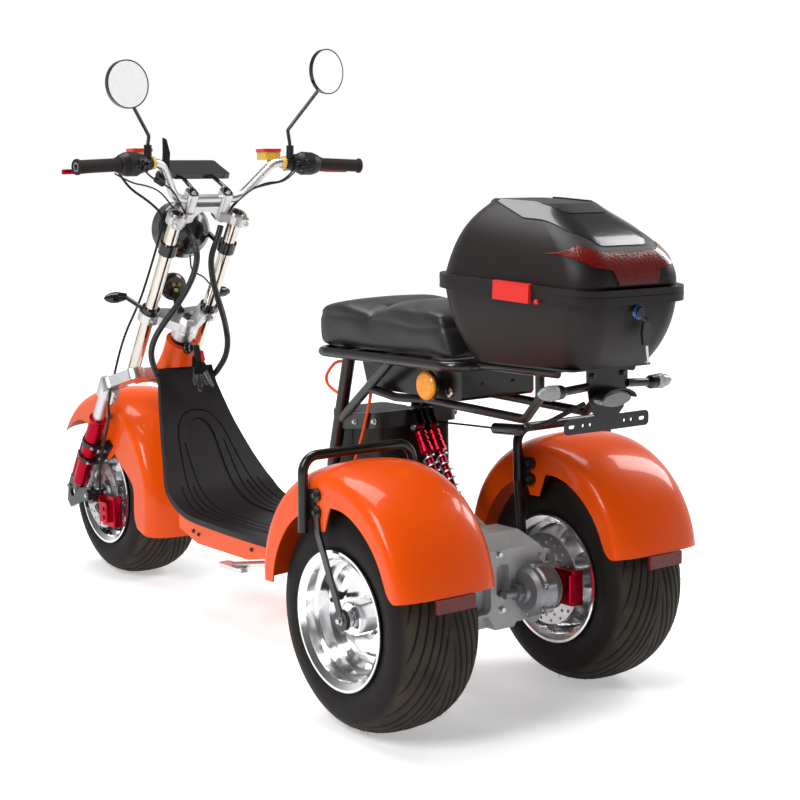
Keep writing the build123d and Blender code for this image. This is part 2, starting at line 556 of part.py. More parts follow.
CALIPER_Y = FRONT_Y + 67
with BuildPart() as front_caliper:
    slab(Plane(origin=(FRONT_DISC_X + 7, CALIPER_Y, AXLE_Z - 80), x_dir=(1, 0, 0)), 28, 72, 86, 4)
    slab(Plane(origin=(FRONT_DISC_X + 27, CALIPER_Y, AXLE_Z - 66), x_dir=(1, 0, 0)), 20, 46, 56, 4)
    block((FRONT_DISC_X - 1, FRONT_DISC_X + DISC_THICK + 1), (FRONT_Y + 20, FRONT_Y + 98), (AXLE_Z - 90, AXLE_Z + 16),
          mode=Mode.SUBTRACT)
    block((FRONT_DISC_X - 10, FRONT_DISC_X - 1), (FRONT_Y, FRONT_Y + 43), (AXLE_Z - 90, AXLE_Z + 16),
          mode=Mode.SUBTRACT)
    # two pad windows in the outer face and the lug bolted to the link
    for z in (AXLE_Z - 52, AXLE_Z - 28):
        slab(Plane(origin=(FRONT_DISC_X + 34, CALIPER_Y + 10, z), x_dir=(0, 1, 0), z_dir=(1, 0, 0)), 15, 13, 5, 2,
             Mode.SUBTRACT)
    block((FRONT_DISC_X + 16, LINK_X - FIT), (FRONT_Y + 13, FRONT_Y + 45), (AXLE_Z - 18, AXLE_Z + 4))

# ---- frame ----
PILLAR_X = 105
FLOOR_X = 95
FLOOR_Z = 226
RAIL_X = 150
RAIL_Z = 717
RAIL_Y = (270, 757)
RAIL_R = 10.5
MAIN_R = 14
RACK_Z = 730
RACK_START = 738
RACK_END = 1036
RACK_ROD_Z = 719
RACK_ROD_R = 8
RACK_CROSS_Y = 922
STRUT_TOP = (140, 536, RAIL_Z - 2)
STRUT_FOOT = (300, 565)
STRUT_R = 10
SHOCK_X = 17.5
SHOCK_TOP = (461, 556)
SHOCK_LOW = (REAR_Y - 96.5, 378)
LUG_GAP = 7
DOWN_R = 16
DOWN_TUBE = [(0, -624, 630), (0, -594, 572), (0, -556, 470), (0, -484, 302), (0, -350, FLOOR_Z)]


def shock_lugs(points, eye):
    """Two pairs of drilled lugs, one round each shock absorber's eye."""
    for s in SIDES:
        for inner in (s * SHOCK_X - LUG_GAP - FIT - 4, s * SHOCK_X + LUG_GAP + FIT):
            with BuildSketch(Plane.YZ.offset(inner)) as lug:
                Polygon(*points, align=None)
                with Locations(eye):
                    Circle(11)
                    Circle(5 + FIT, mode=Mode.SUBTRACT)
            extrude(lug.sketch, amount=4)


with BuildPart() as chassis_frame:
    rod(steer_point(0, HEAD_TUBE_UP[0], 0), steer_point(0, HEAD_TUBE_UP[1], 0), 27)
    tube(DOWN_TUBE, 60, DOWN_R)
    for s in SIDES:
        tube([(0, -390, FLOOR_Z), (s * FLOOR_X, -330, FLOOR_Z), (s * FLOOR_X, 230, FLOOR_Z),
              (s * PILLAR_X, 267, 466), (s * PILLAR_X, 337, RAIL_Z - 6)], 24, MAIN_R)
        rod((s * STRUT_TOP[0], *STRUT_TOP[1:]), (s * PILLAR_X, *STRUT_FOOT), STRUT_R)
        rod((s * (PILLAR_X - 2), 337, RAIL_Z), (s * RAIL_X, 337, RAIL_Z), 9)
        rod((s * FLOOR_X, 225, FLOOR_Z), (s * FLOOR_X, 470, 250), MAIN_R)
    # the seat rail is one closed loop of tube
    with BuildLine() as rail:
        FilletPolyline([(-RAIL_X, RAIL_Y[0], RAIL_Z), (RAIL_X, RAIL_Y[0], RAIL_Z), (RAIL_X, RAIL_Y[1], RAIL_Z),
                        (-RAIL_X, RAIL_Y[1], RAIL_Z)], radius=46, close=True)
    with BuildSketch(Plane(origin=rail.line @ 0, z_dir=rail.line % 0)) as rail_section:
        Circle(RAIL_R)
    sweep(rail_section.sketch, path=rail.line)
    block((-RAIL_X, RAIL_X), (350, 370), (708, 722))
    block((-RAIL_X, RAIL_X), (680, 700), (708, 722))
    # the strap that runs round behind the pillars and holds the shock absorbers
    BAND_PLANE = Plane(origin=(0, 310, 545), x_dir=(1, 0, 0), z_dir=(0, -0.11, 1))
    with BuildSketch(BAND_PLANE) as band:
        RectangleRounded(2 * PILLAR_X + 6, 280, 26)
        RectangleRounded(2 * PILLAR_X - 6, 268, 22, mode=Mode.SUBTRACT)
        with Locations((0, -100)):
            Rectangle(300, 200, mode=Mode.SUBTRACT)
    extrude(band.sketch, amount=34)
    shock_lugs([(446, 562), (446, 594), (454, 594), (472, 566), (466, 544), (452, 544)], SHOCK_TOP)
    # swing pivot tube and battery tray
    rod((-FLOOR_X, 470, 250), (FLOOR_X, 470, 250), 16)
    block((-FLOOR_X - 4, FLOOR_X + 4), (222, 440), (254, 264.7))
    # rack under the case: two rails, a cross rod and a tray
    for s in SIDES:
        rod((s * 96, 740, RACK_ROD_Z), (s * 96, 990, RACK_ROD_Z), RACK_ROD_R)
    rod((-96, RACK_CROSS_Y, RACK_ROD_Z), (96, RACK_CROSS_Y, RACK_ROD_Z), RACK_ROD_R)
    slab(Plane(origin=(0, (RACK_START + RACK_END) / 2, RACK_Z - 4)), 208, RACK_END - RACK_START, 4, 12)
    # side stand bracket
    block((FLOOR_X + 9, FLOOR_X + 16), (12, 48), (184, FLOOR_Z), 3)

LOOP_X = 80
LOOP_Z = 631.8
LOOP_END = 622
with BuildPart() as rack_loops:
    # two tubes run back from the slanting struts and turn up under the rack
    for s in SIDES:
        tube([(s * 124.3, 430, 647.6), (s * 104, 500, LOOP_Z), (s * LOOP_X, 575, LOOP_Z), (s * LOOP_X, 880, LOOP_END),
              (s * LOOP_X, RACK_CROSS_Y, LOOP_END + 44), (s * LOOP_X, RACK_CROSS_Y, RACK_ROD_Z - RACK_ROD_R - FIT)],
             24, 9)
        rod((s * STRUT_TOP[0], *STRUT_TOP[1:]), (s * PILLAR_X, *STRUT_FOOT), STRUT_R + FIT, Mode.SUBTRACT)

BOX_TOP = 708 - FIT
BOX_X = 95
with BuildPart() as under_seat_box:
    side_plate([(388, 641.2), (700, 641.2), (707, 648), (707, BOX_TOP), (367, BOX_TOP)], -BOX_X, BOX_X)
    block((-BOX_X + 3, BOX_X - 3), (396, 704), (644, BOX_TOP - 3), mode=Mode.SUBTRACT)
    # round mounts of the side reflectors and the hole of the box lock
    for s in SIDES:
        turned((s * (BOX_X - 1), 626, 668), (s, 0, 0), [(0, 0), (0, 10), (16, 10), (20, 31), (25, 31), (25, 0)])
    rod((BOX_X - 5, 672, 657), (BOX_X + 1, 672, 657), 10 + FIT, Mode.SUBTRACT)

with BuildPart() as side_reflectors:
    for s in SIDES:
        turned((s * (BOX_X + 24 + FIT), 626, 668), (s, 0, 0), [(0, 0), (0, 29), (5, 29), (8, 25), (8, 0)])

BATTERY_X = 76
with BuildPart() as battery_box:
    with BuildSketch(Plane.XY.offset(265)):
        with Locations((0, 267)):
            RectangleRounded(2 * BATTERY_X, 110, 24)
        with Locations((0, 375.5)):
            RectangleRounded(2 * BATTERY_X + 40, 119, 18)
    extrude(amount=315)
    fillet(battery_box.faces().sort_by(Axis.Z)[-1].edges(), radius=7)

SEAT_X = 148
SEAT_Z = (RAIL_Z + RAIL_R + FIT, 821)
SEAT_FRONT = 246
with BuildPart() as seat_pad:
    with BuildSketch(Plane.YZ.offset(-SEAT_X)):
        with BuildLine():
            Polyline((SEAT_FRONT, 770), (SEAT_FRONT + 4, SEAT_Z[0]), (736, SEAT_Z[0]), (707, SEAT_Z[1] - 12),
                     (704, SEAT_Z[1]))
            Spline((704, SEAT_Z[1]), (600, 826), (520, 824), (455, 817), (400, 822), (320, 823), (268, 811),
                   (SEAT_FRONT, 770))
        make_face()
    extrude(amount=2 * SEAT_X)
    with BuildSketch(Plane.XY.offset(600)):
        with Locations((0, SEAT_FRONT + 300)):
            RectangleRounded(2 * SEAT_X, 600, 52)
    extrude(amount=400, mode=Mode.INTERSECT)

# ---- floor, leg shield and neck ----
MAT_TOP = [(FRONT_Y + 304, 604), (FRONT_Y + 322, 556), (FRONT_Y + 368, 458), (FRONT_Y + 423, 371),
           (FRONT_Y + 478, 306), (FRONT_Y + 547, 272), (FRONT_Y + 640, 262), (FRONT_Y + 860, 258), (190, 256)]
MAT_THICK = 14
GROOVE = 3.5
MAT_X = 160


def sunk(points, depth):
    """Side-view points moved square to their curve, to the underside."""
    moved = []
    for i, (y, z) in enumerate(points):
        before = points[max(i - 1, 0)]
        after = points[min(i + 1, len(points) - 1)]
        run = Vector(after[0] - before[0], after[1] - before[1]).normalized()
        moved.append((y + run.Y * depth, z - run.X * depth))
    return moved


def mat_layer(depth, thick, half_x, mode=Mode.ADD):
    """A layer of the mat, of even thickness, at a depth under its top surface."""
    upper = sunk(MAT_TOP, depth)
    lower = sunk(MAT_TOP, depth + thick)
    with BuildSketch(Plane.YZ.offset(-half_x)) as layer:
        with BuildLine():
            Spline(*upper)
            Line(upper[-1], lower[-1])
            Spline(*lower)
            Line(lower[0], upper[0])
        make_face()
    extrude(layer.sketch, amount=2 * half_x, mode=mode)


# the grooves lie in a plane that leans like the mat: (half width, distance down the mat)
GROOVE_PLANE = Plane(origin=(0, 0, 0), x_dir=(1, 0, 0), z_dir=(0, 0.415, 0.91))
GROOVE_WIDE = 4
GROOVE_END = 120
OUTER_U = [(0, -687), (34, -680), (58, -660), (76, -613), (89, -547), (99, -486), (104, -430), (104, GROOVE_END)]
RECESS_U = [(0, -668), (21, -661), (34, -640), (38, -600), (38, -520), (40, -440), (42, -380), (42, 40)]
SIDE_GROOVES = [[(58, -613), (61, -547), (63, -486), (63, -430), (63, GROOVE_END)],
                [(80, -500), (83, -450), (84, -400), (84, GROOVE_END)],
                [(112, -505), (121, -455), (125, -400), (125, GROOVE_END)]]


def u_region(half, inset, mode=Mode.ADD):
    """The region inside a U, drawn in by an inset."""
    right = []
    for x, down in half:
        steep = min(1, x / 58)
        right.append((x - inset * steep, down + inset * (1 - steep)))
    left = [(-x, down) for x, down in reversed(right[1:])]
    with BuildLine() as outline:
        Spline(*left, *right)
        Line(right[-1], left[0])
    make_face(outline.edges(), mode=mode)


def groove_strip(line, side):
    """A narrow strip along a smooth line on one side of the mat."""
    outer = [(side * (x + GROOVE_WIDE / 2), down) for x, down in line]
    inner = [(side * (x - GROOVE_WIDE / 2), down) for x, down in reversed(line)]
    with BuildLine() as outline:
        Spline(*outer)
        Line(outer[-1], inner[0])
        Spline(*inner)
        Line(inner[-1], outer[0])
    make_face(outline.edges())


with BuildPart() as foot_mat:
    # top layer, cut by U-shaped grooves that run down the leg shield and along the floor
    mat_layer(0, GROOVE + 0.5, MAT_X)
    with BuildSketch(GROOVE_PLANE) as grooves:
        u_region(OUTER_U, 0)
        u_region(OUTER_U, GROOVE_WIDE, Mode.SUBTRACT)
        for line in SIDE_GROOVES:
            for side in SIDES:
                groove_strip(line, side)
        u_region(RECESS_U, 0)
    extrude(grooves.sketch, amount=700, both=True, mode=Mode.SUBTRACT)
    mat_layer(GROOVE, MAT_THICK - GROOVE, MAT_X)
    # the outline, narrow at the neck and wide over the floor
    with BuildSketch(Plane.XZ.offset(700)) as outline:
        half = [(79, 640), (84, 560), (107, 460), (131, 375), (155, 306), (157, 270), (157, 200)]
        Polygon(*half, *[(-x, z) for x, z in reversed(half)], align=None)
    extrude(outline.sketch, amount=-1000, mode=Mode.INTERSECT)

SKIRT_X = 155
SKIRT_BOTTOM = [(-352, 226), (-262, 200), (-26, 200), (41, 214), (200, 214)]
with BuildPart() as floor_skirt:
    side_plate([(-352, 300)] + SKIRT_BOTTOM + [(200, 300)], -SKIRT_X, SKIRT_X)
    side_plate([(-347, 300)] + [(y * 0.985, z + 4) for y, z in SKIRT_BOTTOM[:-1]] + [(210, 218), (210, 300)],
               -SKIRT_X + 4, SKIRT_X - 4, Mode.SUBTRACT)
    # everything above the mat's underside is cut away
    above = sunk(MAT_TOP, MAT_THICK + FIT)
    with BuildSketch(Plane.YZ.offset(-200)) as cut:
        with BuildLine():
            Spline(*above)
            Polyline(above[-1], (300, above[-1][1]), (300, 700), above[0])
        make_face()
    extrude(cut.sketch, amount=400, mode=Mode.SUBTRACT)
    block((-FLOOR_X - 18, FLOOR_X + 18), (-420, -312), (208, 300), mode=Mode.SUBTRACT)
    for s in SIDES:
        rod((s * FLOOR_X, -342, FLOOR_Z), (s * FLOOR_X, 260, FLOOR_Z), MAIN_R + 1, Mode.SUBTRACT)
    block((FLOOR_X + 6, FLOOR_X + 36), (6, 54), (180, FLOOR_Z + 6), mode=Mode.SUBTRACT)

with BuildPart() as neck_shroud:
    with BuildSketch(steer_plane(526, -2)) as collar:
        Circle(41)
    with BuildSketch(steer_plane(470, -18)) as waist:
        RectangleRounded(92, 90, 34)
    with BuildSketch(steer_plane(425, -30)) as foot:
        RectangleRounded(110, 100, 24)
    loft([collar.sketch, waist.sketch, foot.sketch])
    rod(steer_point(0, 400, 0), steer_point(0, 560, 0), 27 + FIT, Mode.SUBTRACT)
    tube(DOWN_TUBE, 60, DOWN_R + FIT, mode=Mode.SUBTRACT)
    behind_mat = sunk(MAT_TOP, MAT_THICK + FIT)
    with BuildSketch(Plane.YZ.offset(-200)) as mat_side:
        with BuildLine():
            Spline(*behind_mat)
            Polyline(behind_mat[-1], (300, behind_mat[-1][1]), (300, 604), (MAT_TOP[0][0], 604), behind_mat[0])
        make_face()
    extrude(mat_side.sketch, amount=400, mode=Mode.SUBTRACT)

# ---- rear axle ----
CARRIER_X = 112
PLATE_Y = REAR_Y + 59.5
NOSE_Y = REAR_Y - 87.5
with BuildPart() as axle_carrier:
    side_plate([(NOSE_Y, 262), (NOSE_Y, 205), (REAR_Y - 22, 165), (PLATE_Y, 165), (PLATE_Y, 330),
                (REAR_Y + 28, 360), (REAR_Y - 38, 360), (REAR_Y - 70, 330)], -CARRIER_X, CARRIER_X)
    with BuildSketch(Plane.XZ.offset(-PLATE_Y - 80)) as rear_outline:
        Polygon((CARRIER_X, 190), (CARRIER_X, 310), (64, 360), (-64, 360), (-CARRIER_X, 310), (-CARRIER_X, 190),
                (-88, 165), (88, 165), align=None)
        fillet(rear_outline.vertices(), radius=8)
    extrude(rear_outline.sketch, amount=400, mode=Mode.INTERSECT)
    # drive window and lightening pocket in the rear plate, pockets in the sides
    with BuildSketch(Plane.XZ.offset(-PLATE_Y)) as windows:
        with Locations((4, 266)):
            RectangleRounded(34, 66, 9)
        with Locations((62, 250)):
            RectangleRounded(52, 96, 16)
        # the two V-shaped notches in the lower edge
        for s in SIDES:
            Polygon((s * 22, 160), (s * 44, 196), (s * 60, 196), (s * 82, 160), align=None)
    extrude(windows.sketch, amount=26, mode=Mode.SUBTRACT)
    rod((-120, REAR_Y, AXLE_Z), (120, REAR_Y, AXLE_Z), HUB_BORE, Mode.SUBTRACT)
    # swing arm to the pivot tube, and the lugs of the shock absorbers
    for s in SIDES:
        side_plate([(486 + FIT, 268), (486 + FIT, 232), (NOSE_Y + 25, 205), (NOSE_Y + 25, 300)], s * 50, s * 74)
    eye_y = SHOCK_LOW[0]
    shock_lugs([(eye_y - 10, 366), (eye_y - 14, 388), (eye_y, 392), (eye_y + 74, 358), (eye_y + 74, 320),
                (eye_y + 30, 320)], SHOCK_LOW)

AXLE_END = REAR_X + 84
with BuildPart() as rear_axle:
    rod((-AXLE_END, REAR_Y, AXLE_Z), (AXLE_END, REAR_Y, AXLE_Z), HUB_BORE - FIT)
    for s in SIDES:
        with BuildSketch(Plane(origin=(s * (AXLE_END - 12), REAR_Y, AXLE_Z), x_dir=(0, 1, 0), z_dir=(s, 0, 0))) as nut:
            RegularPolygon(17, 6)
        extrude(nut.sketch, amount=12)

GEAR_AXIS = (PLATE_Y + 24, 243)
with BuildPart() as gearbox:
    GEAR_X = -104
    turned((GEAR_X, *GEAR_AXIS), (1, 0, 0), [(0, 0), (0, 36), (6, 44), (20, 50), (28, 54), (52, 54), (56, 50),
                                            (64, 48), (72, 40), (76, 24), (84, 22), (84, 0)])
    with BuildSketch(Plane(origin=(GEAR_X + 34, *GEAR_AXIS), x_dir=(0, 1, 0), z_dir=(1, 0, 0))) as bosses:
        with PolarLocations(52, 6, start_angle=20):
            Circle(9)
    extrude(bosses.sketch, amount=22)
    with BuildSketch(Plane(origin=(GEAR_X + 83, *GEAR_AXIS), x_dir=(0, 1, 0), z_dir=(1, 0, 0))) as nut:
        RegularPolygon(18, 6)
    extrude(nut.sketch, amount=14)
    rod((GEAR_X + 96, *GEAR_AXIS), (GEAR_X + 126, *GEAR_AXIS), 9)
    block((-200, 200), (500, PLATE_Y + FIT), (100, 400), mode=Mode.SUBTRACT)

with BuildPart() as rear_calipers:
    for s in SIDES:
        slab(Plane(origin=(s * 160, REAR_Y + 78, AXLE_Z - 37), x_dir=(1, 0, 0)), 32, 58, 74, 4)
        slab(Plane(origin=(s * 146, REAR_Y + 76, AXLE_Z - 30), x_dir=(1, 0, 0)), 20, 62, 60, 5)
        turned((s * 134, REAR_Y + 62, AXLE_Z + 4), (s, 0, 0), [(0, 0), (0, 17), (4, 20), (12, 20), (12, 0)])
        block(sorted((s * 165.5, s * 172.5)), (REAR_Y, REAR_Y + 100), (AXLE_Z - 60, AXLE_Z + 60), mode=Mode.SUBTRACT)
        rod((s * (CARRIER_X + FIT), REAR_Y + 48, AXLE_Z - 22), (s * 146, REAR_Y + 48, AXLE_Z - 22), 9)
        rod((s * (CARRIER_X + FIT), REAR_Y + 48, AXLE_Z + 20), (s * 146, REAR_Y + 48, AXLE_Z + 20), 9)

shock_run = Vector(0, SHOCK_LOW[0] - SHOCK_TOP[0], SHOCK_LOW[1] - SHOCK_TOP[1])
with BuildPart() as rear_shocks:
    for s in SIDES:
        top = Vector(s * SHOCK_X, *SHOCK_TOP)
        for eye in (top, top + shock_run):
            turned(eye - Vector(LUG_GAP, 0, 0), (1, 0, 0), [(0, 0), (0, 11), (2 * LUG_GAP, 11), (2 * LUG_GAP, 0)])
            rod(eye - Vector(LUG_GAP + 5, 0, 0), eye + Vector(LUG_GAP + 5, 0, 0), 5)
        turned(top, shock_run, [(0, 0), (0, 6), (14, 6), (14, 15), (22, 15), (22, 12), (27, 12), (27, 15), (35, 15),
                                (35, 12), (40, 12), (40, 15), (52, 15), (52, 16), (60, 16), (60, 8),
                                (174, 8), (174, 15.5), (182, 15.5), (184, 6), (shock_run.length, 6),
                                (shock_run.length, 0)])

SPRING_TURNS = 6
with BuildPart() as shock_springs:
    for s in SIDES:
        spring_foot = Vector(s * SHOCK_X, *SHOCK_TOP) + shock_run.normalized() * (60 + FIT + 2.5)
        spring_length = 174 - 60 - 2 * FIT - 5
        with BuildLine() as coil:
            Helix(spring_length / SPRING_TURNS, spring_length, 12.5, center=spring_foot, direction=shock_run)
        with BuildSketch(Plane(origin=coil.line @ 0, z_dir=coil.line % 0)) as wire:
            RegularPolygon(2.5, 8)
        sweep(wire.sketch, path=coil.line, is_frenet=True)

HOOP_TOP = 552
HOOP_Y = REAR_Y - 62.5
BOLT_Y = REAR_Y - 31
BOLT_Z = (446, 480)


def lobed_plate(x0, x1):
    """A plate with two round lobes for the bolts, reaching forward to the hoop's tube."""
    with BuildSketch(Plane.YZ.offset(min(x0, x1))) as section:
        with Locations(*[(BOLT_Y, z) for z in BOLT_Z]):
            Circle(13)
        Polygon((HOOP_Y - 2, BOLT_Z[0] - 18), (HOOP_Y - 2, BOLT_Z[1] + 6), (BOLT_Y - 4, BOLT_Z[1] + 12),
                (BOLT_Y - 4, BOLT_Z[0] - 12), align=None)
    extrude(section.sketch, amount=abs(x1 - x0))


with BuildPart() as fender_hoops:
    for s in SIDES:
        tube([(s * 408, HOOP_Y, 404), (s * 405, HOOP_Y, HOOP_TOP), (s * 142, HOOP_Y, HOOP_TOP),
              (s * 139, HOOP_Y + 6, 440), (s * 122.3, HOOP_Y + 40, 300)], 34, 10)
        # bracket plates bolted to the fender's tabs, and the stay down to the axle end
        lobed_plate(s * (REAR_X + REAR_FENDER_HALF + FIT), s * (REAR_X + REAR_FENDER_HALF + 5))
        lobed_plate(s * (REAR_X - REAR_FENDER_HALF - FIT), s * (REAR_X - REAR_FENDER_HALF - 9))
        strap((s * 397, BOLT_Y, BOLT_Z[0] - 4), (s * 397, BOLT_Y + 4, 403), 16, 5)
        strap((s * 397, BOLT_Y + 4, 405), (s * (AXLE_END + 5), REAR_Y, AXLE_Z), 16, 5)
        rod((s * (AXLE_END + FIT), REAR_Y, AXLE_Z), (s * (AXLE_END + 9), REAR_Y, AXLE_Z), 22)

with BuildPart() as rear_reflectors:
    for s in SIDES:
        slab(Plane(origin=(s * REAR_X, FENDER_Y + 251, 286)), 92, 10, 27, 2)

# ---- tail ----
with BuildPart() as tail_bracket:
    with BuildSketch(Plane.XZ.offset(-1018)) as hanger:
        Polygon((-52, RACK_Z - 4 - FIT), (52, RACK_Z - 4 - FIT), (52, 700), (42, 650), (24, 632), (-24, 632),
                (-42, 650), (-52, 700), align=None)
        with Locations((0, 623.5)):
            RectangleRounded(216, 29, 9)
        with Locations((-62, 623.5), (-44, 623.5), (44, 623.5), (62, 623.5)):
            Circle(3.5, mode=Mode.SUBTRACT)
        with Locations((-90, 623.5), (90, 623.5)):
            SlotOverall(16, 7, mode=Mode.SUBTRACT)
    extrude(hanger.sketch, amount=-3)
    # hood over the lamp
    with BuildSketch(Plane.XZ.offset(-1020)) as hood:
        with Locations((0, 670)):
            Ellipse(44, 21)
            Ellipse(40, 17, mode=Mode.SUBTRACT)
        with Locations((0, 655)):
            Rectangle(100, 32, mode=Mode.SUBTRACT)
    extrude(hood.sketch, amount=-34)
    for s in SIDES:
        rod((s * 50, 1019, 694), (s * 112, 1018, 690), 8)
        turned((s * 106, 1018, 690), (s, 0, 0), [(0, 0), (0, 9), (8, 13), (22, 14), (22, 0)])

with BuildPart() as rear_lenses:
    for s in SIDES:
        turned((s * (128 + FIT), 1018, 690), (s, 0, 0), [(0, 0), (0, 14), (14, 15), (30, 11), (40, 5), (44, 0)])
    with BuildSketch(Plane.XZ.offset(-1021 - FIT)) as lamp:
        with Locations((0, 670)):
            Ellipse(38, 15)
    extrude(lamp.sketch, amount=-20)
    with BuildSketch(Plane.XZ.offset(-1030)) as lamp_front:
        with Locations((0, 670)):
            Ellipse(34, 11)
    extrude(lamp_front.sketch, amount=-18)

# ---- top case ----
CASE_FRONT = 696
CASE_MID = (CASE_FRONT + TAIL_Y) / 2
CASE_TILT = 3.7
CASE_CORNER = 60
RIM_Z = 877
LID_RIM = 12
LID_TOP = 1032
WALL = 3
LOCK_Z = 834
KNUCKLE_R = 8
KNUCKLE_X = (30, 50, 70)


def case_plane(z, tilt=CASE_TILT):
    """A plane across the case at a height; the case leans back from its rim upwards."""
    lean = radians(tilt)
    return Plane(origin=(0, CASE_MID, z), x_dir=(1, 0, 0), z_dir=(0, sin(lean), cos(lean)))


def case_section(z, tilt, front_half, rear_half, y0, y1, corner, inset):
    """One section of the top case: a rounded trapezoid, drawn in by an inset."""
    front = y0 + inset - CASE_MID
    rear = y1 - inset - CASE_MID
    with BuildSketch(case_plane(z, tilt)) as section:
        Polygon((-front_half + inset, front), (front_half - inset, front), (rear_half - inset, rear),
                (-rear_half + inset, rear), align=None)
        fillet(section.vertices(), radius=corner - inset)
    return section.sketch


def case_loft(levels, inset=0, mode=Mode.ADD):
    """A smooth body through sections of the top case."""
    loft([case_section(*level, inset) for level in levels], mode=mode)


RIM_SECTION = (182, 142, CASE_FRONT, TAIL_Y, CASE_CORNER + 8)
MOUTH_SECTION = (170, 130, CASE_FRONT + 10, TAIL_Y - 12, CASE_CORNER)
BASE_LEVELS = [(RACK_Z + FIT, 0, 122, 96, CASE_FRONT + 52, TAIL_Y - 64, 50),
               (790, 2.2, 152, 118, CASE_FRONT + 22, TAIL_Y - 28, 58), (RIM_Z - 13, CASE_TILT, *MOUTH_SECTION)]
LID_LEVELS = [(RIM_Z + 10, CASE_TILT, *MOUTH_SECTION),
              (944, CASE_TILT, 156, 122, CASE_FRONT + 24, TAIL_Y - 28, 60),
              (996, CASE_TILT, 126, 94, CASE_FRONT + 44, TAIL_Y - 104, 56),
              (LID_TOP, CASE_TILT, 86, 62, CASE_FRONT + 74, TAIL_Y - 176, 44)]
HINGE = case_plane(RIM_Z).from_local_coords(Vector(0, CASE_FRONT - CASE_MID, 0))
print("lid hinge", HINGE)


def rim_band(z0, z1):
    """The flat band round the mouth of the case."""
    extrude(case_section(z0, CASE_TILT, *RIM_SECTION, 0), amount=z1 - z0)


def hinge_barrel(x0, x1, radius, mode=Mode.ADD):
    """A length of the lid's hinge, one on each side of the middle."""
    for s in SIDES:
        rod((s * x0, HINGE.Y, HINGE.Z), (s * x1, HINGE.Y, HINGE.Z), radius, mode)


with BuildPart() as case_base:
    case_loft(BASE_LEVELS)
    rim_band(RIM_Z - 15, RIM_Z - FIT)
    floor_level = (RACK_Z + FIT + WALL, *BASE_LEVELS[0][1:])
    case_loft([floor_level, BASE_LEVELS[1], (RIM_Z + 5, CASE_TILT, *MOUTH_SECTION)], WALL, Mode.SUBTRACT)
    turned((0, TAIL_Y - 60, LOCK_Z), (0, 1, 0), [(0, 0), (0, 13 + FIT), (80, 13 + FIT), (80, 0)], Mode.SUBTRACT)
    hinge_barrel(KNUCKLE_X[1], KNUCKLE_X[2] + FIT, KNUCKLE_R + FIT, Mode.SUBTRACT)
    hinge_barrel(KNUCKLE_X[0], KNUCKLE_X[1], KNUCKLE_R)

# the raised middle of the lid
CREST = [(-58, -158), (58, -158), (76, -110), (66, 10), (48, 60), (-48, 60), (-66, 10), (-76, -110)]
with BuildPart() as lid_crest:
    case_loft(LID_LEVELS, -6)
    with BuildSketch(case_plane(RIM_Z + 60)) as crest_outline:
        Polygon(*CREST, align=None)
        fillet(crest_outline.vertices(), radius=16)
    extrude(crest_outline.sketch, amount=200, mode=Mode.INTERSECT)

with BuildPart() as case_lid:
    case_loft(LID_LEVELS)
    add(lid_crest.part)
    rim_band(RIM_Z, RIM_Z + LID_RIM)
    case_loft([(RIM_Z - 5, CASE_TILT, *MOUTH_SECTION), *LID_LEVELS[1:3], (LID_TOP - WALL, *LID_LEVELS[3][1:])],
              WALL, Mode.SUBTRACT)
    hinge_barrel(KNUCKLE_X[0] - FIT, KNUCKLE_X[1] + FIT, KNUCKLE_R + FIT, Mode.SUBTRACT)
    hinge_barrel(KNUCKLE_X[1] + FIT, KNUCKLE_X[2], KNUCKLE_R)


def lid_skin(thick):
    """A thin skin that follows the outside of the lid."""
    case_loft([*LID_LEVELS[:3], (LID_TOP + thick, *LID_LEVELS[3][1:])], -thick)
    case_loft(LID_LEVELS, -FIT, Mode.SUBTRACT)


with BuildPart() as lid_panel:
    lid_skin(2.5)
    with BuildSketch(Plane.XY.offset(880)) as gloss:
        Polygon((-84, 790), (84, 790), (100, 900), (88, 1010), (56, 1062), (-56, 1062), (-88, 1010), (-100, 900),
                align=None)
        fillet(gloss.vertices(), radius=14)
    extrude(gloss.sketch, amount=300, mode=Mode.INTERSECT)
    with BuildSketch(case_plane(RIM_Z + 40)) as crest_hole:
        Polygon(*CREST, align=None)
        fillet(crest_hole.vertices(), radius=16)
        offset(amount=1)
    extrude(crest_hole.sketch, amount=300, mode=Mode.SUBTRACT)

with BuildPart() as lid_reflector:
    lid_skin(2.5)
    with BuildSketch(Plane.XZ.offset(-940)) as tee:
        half = [(0, 884), (48, 884), (60, 911), (98, 918), (130, 942), (100, 957), (72, 944), (0, 940)]
        Polygon(*half, *[(-x, z) for x, z in reversed(half[1:-1])], align=None)
    extrude(tee.sketch, amount=-400, mode=Mode.INTERSECT)

LATCH_Y = (893, 983)
LATCH_THICK = 7
with BuildPart() as case_latch:
    front_half, rear_half, rim_front, rim_rear = RIM_SECTION[:4]
    taper = (front_half - rear_half) / (rim_rear - rim_front)
    near, far = [front_half - (y - rim_front) * taper + FIT for y in LATCH_Y]
    start, stop = [y - CASE_MID for y in LATCH_Y]
    with BuildSketch(case_plane(RIM_Z).offset(-20)) as latch:
        Polygon((near, start), (near + LATCH_THICK, start), (far + LATCH_THICK, stop), (far, stop), align=None)
    extrude(latch.sketch, amount=32)
    with BuildSketch(case_plane(RIM_Z).offset(LID_RIM + FIT)) as lip:
        Polygon((near - 5, start), (near + LATCH_THICK, start), (far + LATCH_THICK, stop), (far - 5, stop),
                align=None)
    extrude(lip.sketch, amount=3)

with BuildPart() as key_locks:
    turned((0, TAIL_Y - 34, LOCK_Z), (0, 1, 0), [(0, 0), (0, 13), (24, 13), (26, 11), (26, 0)])
    turned((BOX_X - 5 + FIT, 672, 657), (1, 0, 0), [(0, 0), (0, 10), (9, 10), (10, 8), (10, 0)])

